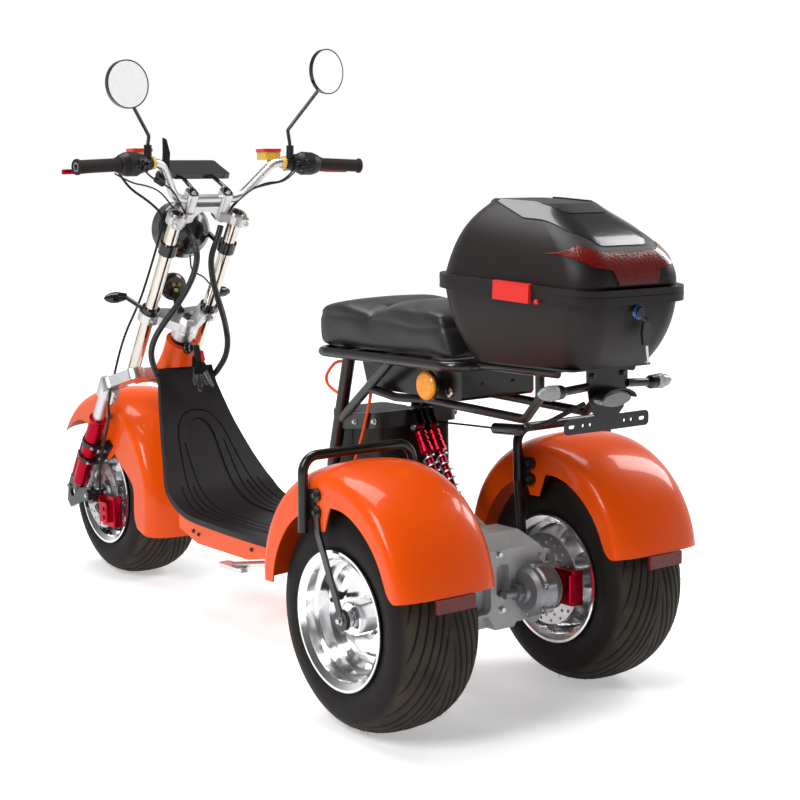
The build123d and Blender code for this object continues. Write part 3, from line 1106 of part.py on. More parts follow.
STAND_X = FLOOR_X + 16
STAND_AXIS = (30, 196)
with BuildPart() as side_stand:
    turned((STAND_X + FIT, *STAND_AXIS), (1, 0, 0), [(0, 0), (0, 11), (20, 11), (20, 0)])
    rod((STAND_X + 10, *STAND_AXIS), (STAND_X + 34, -108, 172), 8)
    slab(Plane(origin=(STAND_X + 36, -104, 163)), 34, 100, 11, 12)


front_tyre.part.label = "front_tyre"
export_step(front_tyre.part, "parts/front_tyre.step")
front_rim.part.label = "front_rim"
export_step(front_rim.part, "parts/front_rim.step")
front_brake_disc.part.label = "front_brake_disc"
export_step(front_brake_disc.part, "parts/front_brake_disc.step")
rear_tyre_left.part.label = "rear_tyre_left"
export_step(rear_tyre_left.part, "parts/rear_tyre_left.step")
rear_rim_left.part.label = "rear_rim_left"
export_step(rear_rim_left.part, "parts/rear_rim_left.step")
rear_disc_left.part.label = "rear_disc_left"
export_step(rear_disc_left.part, "parts/rear_disc_left.step")
rear_tyre_right.part.label = "rear_tyre_right"
export_step(rear_tyre_right.part, "parts/rear_tyre_right.step")
rear_rim_right.part.label = "rear_rim_right"
export_step(rear_rim_right.part, "parts/rear_rim_right.step")
rear_disc_right.part.label = "rear_disc_right"
export_step(rear_disc_right.part, "parts/rear_disc_right.step")
fork_tubes.part.label = "fork_tubes"
export_step(fork_tubes.part, "parts/fork_tubes.step")
top_yoke.part.label = "top_yoke"
export_step(top_yoke.part, "parts/top_yoke.step")
lower_yoke.part.label = "lower_yoke"
export_step(lower_yoke.part, "parts/lower_yoke.step")
fork_crown.part.label = "fork_crown"
export_step(fork_crown.part, "parts/fork_crown.step")
fork_sleeves.part.label = "fork_sleeves"
export_step(fork_sleeves.part, "parts/fork_sleeves.step")
sleeve_clamps.part.label = "sleeve_clamps"
export_step(sleeve_clamps.part, "parts/sleeve_clamps.step")
fork_links.part.label = "fork_links"
export_step(fork_links.part, "parts/fork_links.step")
handlebar.part.label = "handlebar"
export_step(handlebar.part, "parts/handlebar.step")
grips.part.label = "grips"
export_step(grips.part, "parts/grips.step")
switch_housings.part.label = "switch_housings"
export_step(switch_housings.part, "parts/switch_housings.step")
mirror_shells.part.label = "mirror_shells"
export_step(mirror_shells.part, "parts/mirror_shells.step")
mirror_glasses.part.label = "mirror_glasses"
export_step(mirror_glasses.part, "parts/mirror_glasses.step")
brake_reservoirs.part.label = "brake_reservoirs"
export_step(brake_reservoirs.part, "parts/brake_reservoirs.step")
reservoir_caps.part.label = "reservoir_caps"
export_step(reservoir_caps.part, "parts/reservoir_caps.step")
brake_levers.part.label = "brake_levers"
export_step(brake_levers.part, "parts/brake_levers.step")
display.part.label = "display"
export_step(display.part, "parts/display.step")
headlight.part.label = "headlight"
export_step(headlight.part, "parts/headlight.step")
headlight_lens.part.label = "headlight_lens"
export_step(headlight_lens.part, "parts/headlight_lens.step")
horn.part.label = "horn"
export_step(horn.part, "parts/horn.step")
front_indicators.part.label = "front_indicators"
export_step(front_indicators.part, "parts/front_indicators.step")
front_fender.part.label = "front_fender"
export_step(front_fender.part, "parts/front_fender.step")
rear_fenders.part.label = "rear_fenders"
export_step(rear_fenders.part, "parts/rear_fenders.step")
front_caliper.part.label = "front_caliper"
export_step(front_caliper.part, "parts/front_caliper.step")
chassis_frame.part.label = "chassis_frame"
export_step(chassis_frame.part, "parts/chassis_frame.step")
rack_loops.part.label = "rack_loops"
export_step(rack_loops.part, "parts/rack_loops.step")
under_seat_box.part.label = "under_seat_box"
export_step(under_seat_box.part, "parts/under_seat_box.step")
side_reflectors.part.label = "side_reflectors"
export_step(side_reflectors.part, "parts/side_reflectors.step")
battery_box.part.label = "battery_box"
export_step(battery_box.part, "parts/battery_box.step")
seat_pad.part.label = "seat_pad"
export_step(seat_pad.part, "parts/seat_pad.step")
foot_mat.part.label = "foot_mat"
export_step(foot_mat.part, "parts/foot_mat.step")
floor_skirt.part.label = "floor_skirt"
export_step(floor_skirt.part, "parts/floor_skirt.step")
neck_shroud.part.label = "neck_shroud"
export_step(neck_shroud.part, "parts/neck_shroud.step")
axle_carrier.part.label = "axle_carrier"
export_step(axle_carrier.part, "parts/axle_carrier.step")
rear_axle.part.label = "rear_axle"
export_step(rear_axle.part, "parts/rear_axle.step")
gearbox.part.label = "gearbox"
export_step(gearbox.part, "parts/gearbox.step")
rear_calipers.part.label = "rear_calipers"
export_step(rear_calipers.part, "parts/rear_calipers.step")
rear_shocks.part.label = "rear_shocks"
export_step(rear_shocks.part, "parts/rear_shocks.step")
shock_springs.part.label = "shock_springs"
export_step(shock_springs.part, "parts/shock_springs.step")
fender_hoops.part.label = "fender_hoops"
export_step(fender_hoops.part, "parts/fender_hoops.step")
rear_reflectors.part.label = "rear_reflectors"
export_step(rear_reflectors.part, "parts/rear_reflectors.step")
tail_bracket.part.label = "tail_bracket"
export_step(tail_bracket.part, "parts/tail_bracket.step")
rear_lenses.part.label = "rear_lenses"
export_step(rear_lenses.part, "parts/rear_lenses.step")
case_base.part.label = "case_base"
export_step(case_base.part, "parts/case_base.step")
case_lid.part.label = "case_lid"
export_step(case_lid.part, "parts/case_lid.step")
lid_panel.part.label = "lid_panel"
export_step(lid_panel.part, "parts/lid_panel.step")
lid_reflector.part.label = "lid_reflector"
export_step(lid_reflector.part, "parts/lid_reflector.step")
case_latch.part.label = "case_latch"
export_step(case_latch.part, "parts/case_latch.step")
key_locks.part.label = "key_locks"
export_step(key_locks.part, "parts/key_locks.step")
side_stand.part.label = "side_stand"
export_step(side_stand.part, "parts/side_stand.step")
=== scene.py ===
import json
from math import copysign, cos, exp, hypot, pi, radians, sin
from random import Random

import bmesh
import bpy
import numpy as np
from mathutils import Matrix, Vector


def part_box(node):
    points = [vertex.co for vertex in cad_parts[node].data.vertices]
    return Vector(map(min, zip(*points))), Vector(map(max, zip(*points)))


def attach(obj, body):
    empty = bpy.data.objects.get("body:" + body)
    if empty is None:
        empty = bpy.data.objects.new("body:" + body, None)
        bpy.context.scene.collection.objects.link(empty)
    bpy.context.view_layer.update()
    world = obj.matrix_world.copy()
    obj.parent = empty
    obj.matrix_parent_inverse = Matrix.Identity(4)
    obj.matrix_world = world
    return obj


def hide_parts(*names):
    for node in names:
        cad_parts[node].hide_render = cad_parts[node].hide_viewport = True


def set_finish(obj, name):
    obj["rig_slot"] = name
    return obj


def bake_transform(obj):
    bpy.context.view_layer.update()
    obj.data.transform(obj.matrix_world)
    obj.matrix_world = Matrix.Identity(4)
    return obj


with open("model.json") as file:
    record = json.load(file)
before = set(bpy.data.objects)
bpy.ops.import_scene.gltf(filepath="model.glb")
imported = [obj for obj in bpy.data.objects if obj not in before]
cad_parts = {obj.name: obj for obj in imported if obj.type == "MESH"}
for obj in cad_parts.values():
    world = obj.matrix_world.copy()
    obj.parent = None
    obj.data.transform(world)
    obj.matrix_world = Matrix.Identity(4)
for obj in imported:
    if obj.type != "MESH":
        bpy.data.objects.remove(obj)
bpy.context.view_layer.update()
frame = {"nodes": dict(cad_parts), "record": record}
NODES = frame["nodes"]
MM = 0.001

# The scooter faces -Y with its left side at +X. Everything is in metres.


# ---- shader graphs ----

class Shader:
    """A material's node graph, with short calls for the nodes that the materials share."""

    def __init__(self, name, colour, roughness, metallic=0.0, **sockets):
        self.material = bpy.data.materials.new(name)
        self.material.use_nodes = True
        self.tree = self.material.node_tree
        self.surface = self.tree.nodes["Principled BSDF"]
        self.set("Base Color", (*colour, 1.0))
        self.set("Roughness", roughness)
        self.set("Metallic", metallic)
        for socket, value in sockets.items():
            self.set(socket.replace("_", " "), value)

    def set(self, socket, value):
        """Links or sets one input of the surface shader."""
        self.join(value, self.surface.inputs[socket])

    def join(self, value, socket):
        if isinstance(value, bpy.types.NodeSocket):
            self.tree.links.new(value, socket)
        else:
            socket.default_value = value

    def node(self, kind, inputs=None, **settings):
        made = self.tree.nodes.new(kind)
        for name, value in settings.items():
            setattr(made, name, value)
        for key, value in (inputs or {}).items():
            self.join(value, made.inputs[key])
        return made

    def place(self):
        """Position on the object at rest, in metres."""
        return self.node("ShaderNodeTexCoord").outputs["Object"]

    def noise(self, scale, detail=3.0, vector=None, roughness=0.5):
        made = self.node("ShaderNodeTexNoise", {"Scale": scale, "Detail": detail, "Roughness": roughness,
                                                "Vector": vector or self.place()})
        return made.outputs["Fac"]

    def cells(self, scale, feature="DISTANCE_TO_EDGE", vector=None):
        made = self.node("ShaderNodeTexVoronoi", {"Scale": scale, "Vector": vector or self.place()},
                         feature=feature)
        return made.outputs["Distance"]

    def spread(self, value, low, high, from_low=0.0, from_high=1.0):
        made = self.node("ShaderNodeMapRange", {"Value": value, "From Min": from_low, "From Max": from_high,
                                                "To Min": low, "To Max": high})
        return made.outputs["Result"]

    def maths(self, operation, a, b=0.0):
        return self.node("ShaderNodeMath", {0: a, 1: b}, operation=operation).outputs[0]

    def blend(self, factor, dark, light):
        """A colour between two, by a factor."""
        made = self.node("ShaderNodeMix", {"Factor": factor}, data_type="RGBA")
        self.join((*dark, 1.0), made.inputs[6])
        self.join((*light, 1.0), made.inputs[7])
        return made.outputs[2]

    def bump(self, height, depth, strength=1.0, before=None):
        """Relief of a real depth in metres, chained after another relief if given."""
        inputs = {"Height": height, "Distance": depth, "Strength": strength}
        if before:
            inputs["Normal"] = before
        return self.node("ShaderNodeBump", inputs).outputs["Normal"]

    def soft_edges(self, radius=0.001):
        """Rounds sharp edges in shading, as casting and paint do."""
        return self.node("ShaderNodeBevel", {"Radius": radius}, samples=4).outputs["Normal"]


def gloss_paint(name, colour, deep):
    """Baked gloss paint with a clear coat, a faint orange peel and a little dust in the gloss."""
    paint = Shader(name, colour, 0.4, Coat_Weight=0.5, Coat_Roughness=0.04, Coat_IOR=1.4,
                   Specular_IOR_Level=0.15)
    paint.set("Base Color", paint.blend(paint.noise(3.5, 2.0), deep, colour))
    peel = paint.bump(paint.noise(420.0, 1.0), 0.00004)
    paint.set("Coat Normal", peel)
    paint.set("Roughness", paint.spread(paint.noise(60.0), 0.26, 0.38))
    return paint.material


def satin_paint(name, colour, roughness, grain=260.0, depth=0.00008, coat=0.25):
    """Powder coat: a fine pebbled skin over steel, its edges slightly rounded."""
    paint = Shader(name, colour, roughness, Coat_Weight=coat, Coat_Roughness=0.18, Specular_IOR_Level=0.35)
    worn = tuple(min(1.0, c * 1.8 + 0.01) for c in colour)
    paint.set("Base Color", paint.blend(paint.spread(paint.noise(14.0, 5.0), 0.0, 0.35, 0.4, 0.8), colour,
                                        worn))
    paint.set("Roughness", paint.spread(paint.noise(35.0), roughness - 0.07, roughness + 0.08))
    paint.set("Normal", paint.bump(paint.noise(grain, 2.0), depth, before=paint.soft_edges()))
    return paint.material


def bare_metal(name, colour, roughness, grain=500.0, depth=0.00003, mottle=0.12):
    """Cast or machined metal with a fine tooth and slightly uneven gloss."""
    metal = Shader(name, colour, roughness, 1.0)
    dull = tuple(c * 0.82 for c in colour)
    metal.set("Base Color", metal.blend(metal.noise(18.0, 4.0), dull, colour))
    metal.set("Roughness", metal.spread(metal.noise(26.0, 4.0), roughness - mottle / 2, roughness + mottle))
    metal.set("Normal", metal.bump(metal.noise(grain, 2.0), depth, before=metal.soft_edges(0.0008)))
    return metal.material


def turned_metal(name, colour, roughness, centre, rings=2200.0):
    """Metal turned on a lathe about a wheel's axle: fine rings that brush the gloss round the axis."""
    metal = Shader(name, colour, roughness, 1.0)
    offset = metal.node("ShaderNodeVectorMath", {0: metal.place(), 1: centre},
                        operation="SUBTRACT").outputs[0]
    parts = metal.node("ShaderNodeSeparateXYZ", {0: offset})
    y, z = parts.outputs["Y"], parts.outputs["Z"]
    squares = [metal.maths("MULTIPLY", part, part) for part in (y, z)]
    radius = metal.maths("SQRT", metal.maths("ADD", *squares))
    depth = metal.maths("MULTIPLY", parts.outputs["X"], 0.7)
    line = metal.node("ShaderNodeCombineXYZ", {0: radius, 1: depth})
    ring = metal.noise(rings, 2.0, line.outputs[0])
    bands = metal.noise(120.0, 1.0, line.outputs[0])
    metal.set("Roughness", metal.maths("ADD", metal.spread(ring, -0.04, 0.05),
                                       metal.spread(bands, roughness - 0.05, roughness + 0.09)))
    metal.set("Normal", metal.bump(ring, 0.00001, 0.6))
    return metal.material


def rubber(name, colour, roughness, grain=380.0, depth=0.0001, dust=(0.04, 0.037, 0.035)):
    """Rubber with a fine matte tooth and grey bloom in patches."""
    skin = Shader(name, colour, roughness, Specular_IOR_Level=0.22)
    bloom = skin.spread(skin.noise(9.0, 5.0), 0.0, 0.45, 0.42, 0.8)
    skin.set("Base Color", skin.blend(bloom, colour, dust))
    skin.set("Roughness", skin.spread(skin.noise(40.0), roughness - 0.08, roughness + 0.08))
    skin.set("Normal", skin.bump(skin.noise(grain, 3.0), depth))
    return skin.material


def tyre_rubber(name):
    """Tyre rubber, browner where the tread is scuffed, with painted shade darkening the grooves."""
    skin = Shader(name, (0.03, 0.029, 0.028), 0.62, Specular_IOR_Level=0.22)
    groove = skin.node("ShaderNodeAttribute", attribute_name="groove").outputs["Fac"]
    tread = skin.node("ShaderNodeAttribute", attribute_name="tread").outputs["Fac"]
    scuff = skin.maths("MULTIPLY", tread, skin.spread(skin.noise(22.0, 5.0), 0.45, 1.0, 0.3, 0.7))
    ground = skin.blend(scuff, (0.009, 0.007, 0.0065), (0.045, 0.034, 0.024))
    # painted shade: inside the grooves the rubber is coloured near black, darker than clean rubber
    mixed = skin.node("ShaderNodeMix", {"Factor": groove}, data_type="RGBA")
    skin.join(ground, mixed.inputs[6])
    skin.join((0.003, 0.0025, 0.002, 1.0), mixed.inputs[7])
    skin.set("Base Color", mixed.outputs[2])
    skin.set("Roughness", skin.spread(skin.noise(30.0), 0.5, 0.72))
    skin.set("Normal", skin.bump(skin.noise(300.0, 3.0), 0.00012))
    return skin.material


def moulded_plastic(name, colour, roughness, grain=900.0, depth=0.0001, coat=0.0):
    """Moulded plastic with an even spark-eroded texture."""
    skin = Shader(name, colour, roughness, Coat_Weight=coat, Coat_Roughness=0.05, Specular_IOR_Level=0.3)
    skin.set("Roughness", skin.spread(skin.noise(20.0), roughness - 0.04, roughness + 0.06))
    skin.set("Normal", skin.bump(skin.cells(grain, "F1"), depth, before=skin.soft_edges(0.0012)))
    return skin.material


def leather(name):
    """Vinyl leather: fine pebble grain with broader creasing."""
    hide = Shader(name, (0.016, 0.015, 0.016), 0.42, Coat_Weight=0.15, Coat_Roughness=0.3,
                  Specular_IOR_Level=0.4)
    grain = hide.cells(520.0)
    broad = hide.noise(34.0, 4.0)
    hide.set("Base Color", hide.blend(broad, (0.011, 0.009, 0.01), (0.024, 0.021, 0.022)))
    hide.set("Roughness", hide.spread(broad, 0.34, 0.5))
    fine = hide.bump(grain, 0.00025)
    hide.set("Normal", hide.bump(broad, 0.0006, 0.4, before=fine))
    return hide.material


def glassy(name, colour, roughness=0.05, transmission=0.0, alpha=1.0, **sockets):
    """Clear or tinted lens plastic with fine moulding waviness."""
    lens = Shader(name, colour, roughness, Transmission_Weight=transmission, Alpha=alpha, IOR=1.49,
                  **sockets)
    lens.set("Normal", lens.bump(lens.noise(160.0, 1.0), 0.00004))
    return lens.material


def reflector(name, colour, glow):
    """Moulded prismatic reflector: a honeycomb of small cells behind clear plastic, the cells' rims
    lightened with painted reflection.
    """
    lens = Shader(name, colour, 0.22, Coat_Weight=0.35, Coat_Roughness=0.06, Specular_IOR_Level=0.3)
    cell = lens.cells(260.0, "F1")
    # painted reflection: the cells are real, but their rims are coloured lighter as if the prisms caught
    # light
    lens.set("Base Color", lens.blend(lens.spread(cell, 0.0, 1.0, 0.1, 0.6), colour, glow))
    lens.set("Normal", lens.bump(cell, 0.0004))
    return lens.material


ORANGE = (0.93, 0.105, 0.003)
wheel_centres = {}
for wheel in ("front", "rear_left", "rear_right"):
    rim_name = "front_rim" if wheel == "front" else f"rear_rim_{wheel[5:]}"
    low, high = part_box(rim_name)
    wheel_centres[wheel] = (low + high) / 2

MATERIALS = {
    "paint_orange": gloss_paint("paint_orange", ORANGE, (0.8, 0.07, 0.002)),
    "paint_black": satin_paint("paint_black", (0.006, 0.004, 0.004), 0.3, coat=0.5),
    "tyre_rubber": tyre_rubber("tyre_rubber"),
    "disc_steel": bare_metal("disc_steel", (0.62, 0.62, 0.64), 0.3, 700.0),
    "cast_silver": bare_metal("cast_silver", (0.78, 0.78, 0.79), 0.33),
    "fork_chrome": bare_metal("fork_chrome", (0.8, 0.74, 0.66), 0.09, 80.0, 0.00001, 0.05),
    "anodised_red": bare_metal("anodised_red", (0.5, 0.006, 0.028), 0.24),
    "cast_grey": bare_metal("cast_grey", (0.42, 0.42, 0.44), 0.5, 260.0, 0.0003),
    "paint_silver": satin_paint("paint_silver", (0.5, 0.51, 0.52), 0.42, coat=0.3),
    "grip_rubber": rubber("grip_rubber", (0.02, 0.014, 0.013), 0.6),
    "switch_plastic": moulded_plastic("switch_plastic", (0.012, 0.012, 0.012), 0.42),
    "anodised_gold": moulded_plastic("anodised_gold", (0.8, 0.5, 0.07), 0.16, 300.0, 0.00003, 0.6),
    "mirror_black": moulded_plastic("mirror_black", (0.01, 0.01, 0.01), 0.16, 500.0, 0.00003, 0.8),
    # painted reflection: the mirror glass glows white, standing in for the bright studio it reflects
    "mirror_glass": glassy("mirror_glass", (0.93, 0.94, 0.95), 0.02, Metallic=0.7,
                           Emission_Color=(1, 1, 1, 1),
                           Emission_Strength=0.42),
    "display_black": moulded_plastic("display_black", (0.012, 0.012, 0.014), 0.14, 400.0, 0.00002, 0.8),
    "lamp_black": moulded_plastic("lamp_black", (0.01, 0.01, 0.01), 0.2, 500.0, 0.00004, 0.7),
    "lamp_clear": glassy("lamp_clear", (0.55, 0.56, 0.58), 0.08, 0.5),
    "horn_black": moulded_plastic("horn_black", (0.014, 0.012, 0.01), 0.2, 300.0, 0.00005, 0.5),
    "mat_rubber": rubber("mat_rubber", (0.012, 0.009, 0.0095), 0.42, 520.0, 0.00012, (0.02, 0.018, 0.018)),
    "seat_leather": leather("seat_leather"),
    "battery_black": moulded_plastic("battery_black", (0.006, 0.004, 0.004), 0.45),
    "case_plastic": moulded_plastic("case_plastic", (0.012, 0.008, 0.008), 0.42, 1100.0, 0.00016),
    "case_gloss": moulded_plastic("case_gloss", (0.012, 0.01, 0.0105), 0.2, 300.0, 0.00001, 0.3),
    "latch_red": moulded_plastic("latch_red", (0.75, 0.02, 0.015), 0.3, 500.0, 0.00004, 0.5),
    "reflector_red": reflector("reflector_red", (0.055, 0.002, 0.002), (0.17, 0.008, 0.006)),
    "reflector_amber": reflector("reflector_amber", (0.75, 0.2, 0.01), (1.0, 0.42, 0.03)),
    "lock_chrome": bare_metal("lock_chrome", (0.82, 0.82, 0.83), 0.12, 200.0, 0.00002),
    "stand_aluminium": bare_metal("stand_aluminium", (0.83, 0.83, 0.84), 0.2),
}
ZINC = bare_metal("zinc", (0.66, 0.7, 0.74), 0.28, 300.0, 0.00003)
BLACK_ZINC = bare_metal("black_zinc", (0.1, 0.1, 0.105), 0.34, 300.0, 0.00003)
BRASS = bare_metal("brass", (0.62, 0.44, 0.17), 0.3, 300.0, 0.00003)
CABLE = rubber("cable", (0.012, 0.012, 0.012), 0.38, 500.0, 0.00005, (0.03, 0.03, 0.03))
BLUE = moulded_plastic("collar_blue", (0.01, 0.12, 0.5), 0.25, 300.0, 0.00003, 0.5)
CABLE_ORANGE = rubber("cable_orange", (0.85, 0.09, 0.005), 0.35, 500.0, 0.00004, (0.5, 0.1, 0.02))
SATIN_BLACK = moulded_plastic("satin_black", (0.01, 0.01, 0.011), 0.28, 700.0, 0.00005, 0.3)


def spiral_wrap():
    """Ribbed black loom wrap: a band of plastic wound round the cables."""
    skin = Shader("spiral_wrap", (0.009, 0.009, 0.009), 0.36, Coat_Weight=0.15, Coat_Roughness=0.2)
    parts = skin.node("ShaderNodeSeparateXYZ", {0: skin.place()})
    wave = skin.maths("SINE", skin.maths("MULTIPLY", skin.maths("ADD", parts.outputs["Z"], skin.maths(
        "MULTIPLY", parts.outputs["Y"], 0.45)), 780.0))
    ridges = skin.spread(wave, 0.0, 1.0, -0.4, 0.9)
    skin.set("Roughness", skin.spread(skin.noise(60.0), 0.3, 0.46))
    skin.set("Normal", skin.bump(ridges, 0.0012))
    return skin.material


LOOM_WRAP = spiral_wrap()
RIM_RADIUS = 0.1395
RIM_METAL = {wheel: turned_metal(f"rim_{wheel}", (0.9, 0.9, 0.91), 0.13, tuple(centre))
             for wheel, centre in wheel_centres.items()}


def paint_cad_nodes():
    """Gives each CAD node the material of its record slot."""
    slots = {part["node"]: part["material_slot"] for part in frame["record"]["subparts"]}
    for name, node in NODES.items():
        material = MATERIALS.get(slots[name])
        if name in ("front_rim", "rear_rim_left", "rear_rim_right"):
            material = RIM_METAL[name.replace("_rim", "")]
        node.data.materials.clear()
        node.data.materials.append(material)


paint_cad_nodes()

# ---- building blocks for the dressing ----
FRONT_AXLE = wheel_centres["front"]
REAR_AXLE = wheel_centres["rear_left"]
RAKE = radians(33)
UP = Vector((0, sin(RAKE), cos(RAKE)))
AHEAD = Vector((0, -cos(RAKE), sin(RAKE)))
OUT = Vector((1, 0, 0))
SIDES = (-1, 1)


def mm(x, y, z):
    return Vector((x, y, z)) * MM


def steer(across, up, ahead):
    """A point of the steering group in millimetres from the front axle, along the steering axis."""
    return FRONT_AXLE + (OUT * across + UP * up + AHEAD * ahead) * MM


def add_piece(name, data, slot, body, material=None):
    """A new object that takes its finish from a record slot and rides a body."""
    piece = bpy.data.objects.new(name, data)
    bpy.context.scene.collection.objects.link(piece)
    data.materials.append(material or MATERIALS[slot])
    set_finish(piece, slot)
    if body:
        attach(piece, body)
    return piece


class Form:
    """A mesh made of turned and drawn shapes, all in one piece."""

    def __init__(self):
        self.mesh = bmesh.new()

    def turn(self, at, along, profile, sides=20, start=0.0):
        """A turned shape: its profile is (distance along the axis, radius) in millimetres."""
        axis = Vector(along).normalized()
        across = axis.orthogonal().normalized()
        third = axis.cross(across)
        rings = []
        for step, radius in profile:
            centre = Vector(at) + axis * step * MM
            if radius <= 0:
                rings.append([self.mesh.verts.new(centre)])
                continue
            angles = [start + 2 * pi * i / sides for i in range(sides)]
            rings.append([self.mesh.verts.new(centre + (cos(a) * across + sin(a) * third) * radius * MM)
                          for a in angles])
        for near, far in zip(rings, rings[1:]):
            for i in range(sides):
                j = (i + 1) % sides
                corners = (near[i % len(near)], near[j % len(near)], far[j % len(far)], far[i % len(far)])
                corners = list(dict.fromkeys(corners))
                if len(corners) > 2:
                    self.mesh.faces.new(corners)

    def hex_bolt(self, at, along, size=6.0, washer=True):
        """A hexagon head on a washer."""
        lift = 0.0
        if washer:
            self.turn(at, along, [(-0.5, size), (1.2, size), (1.6, size * 0.93), (1.6, 0)])
            lift = 1.6
        self.turn(at, along, [(lift, size * 0.78), (lift + size * 0.6, size * 0.78),
                              (lift + size * 0.72, size * 0.66), (lift + size * 0.72, 0)], 6)

    def socket_bolt(self, at, along, size=5.0):
        """A socket cap screw with a hexagon recess."""
        tall = size * 1.1
        self.turn(at, along, [(-0.5, size), (tall - 0.8, size), (tall, size * 0.86), (tall, size * 0.56)])
        self.turn(at, along, [(tall, size * 0.62), (tall, size * 0.52), (tall * 0.4, size * 0.52),
                              (tall * 0.4, 0)],
                  6)

    def plate(self, corners, along, thick):
        """A flat plate: its corners in order, given a thickness along a direction."""
        lower = [self.mesh.verts.new(Vector(c)) for c in corners]
        upper = [self.mesh.verts.new(Vector(c) + Vector(along).normalized() * thick * MM) for c in corners]
        self.mesh.faces.new(lower[::-1])
        self.mesh.faces.new(upper)
        for i in range(len(corners)):
            j = (i + 1) % len(corners)
            self.mesh.faces.new((lower[i], lower[j], upper[j], upper[i]))

    def finish(self, name, slot, body, material=None, crease=0.6):
        bmesh.ops.recalc_face_normals(self.mesh, faces=self.mesh.faces)
        for face in self.mesh.faces:
            face.smooth = True
        for edge in self.mesh.edges:
            if len(edge.link_faces) == 2 and edge.calc_face_angle(0) > crease:
                edge.smooth = False
        data = bpy.data.meshes.new(name)
        self.mesh.to_mesh(data)
        self.mesh.free()
        return add_piece(name, data, slot, body, material)


def run_line(name, points, radius, slot, body, material=None):
    """A round line, such as a pipe, clip or wire, smooth through its control points."""
    curve = bpy.data.curves.new(name, "CURVE")
    curve.dimensions = "3D"
    line = curve.splines.new("NURBS")
    line.points.add(len(points) - 1)
    for knot, place in zip(line.points, points):
        knot.co = (*place, 1.0)
    line.order_u = 3
    line.use_endpoint_u = True
    line.resolution_u = 8
    curve.bevel_depth = radius * MM
    curve.bevel_resolution = 4
    curve.use_fill_caps = True
    return add_piece(name, curve, slot, body, material)


def as_mesh(line):
    """A free mesh in place of a line."""
    bpy.context.view_layer.update()
    data = bpy.data.meshes.new_from_object(line.evaluated_get(bpy.context.evaluated_depsgraph_get()))
    name, slot = line.name, line["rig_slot"]
    bpy.data.objects.remove(line)
    piece = bpy.data.objects.new(name, data)
    bpy.context.scene.collection.objects.link(piece)
    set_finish(piece, slot)
    return piece


# ---- tyres ----
TREAD_HALF = 0.082
GROOVES = 18
GROOVE_SWEEP = radians(104)


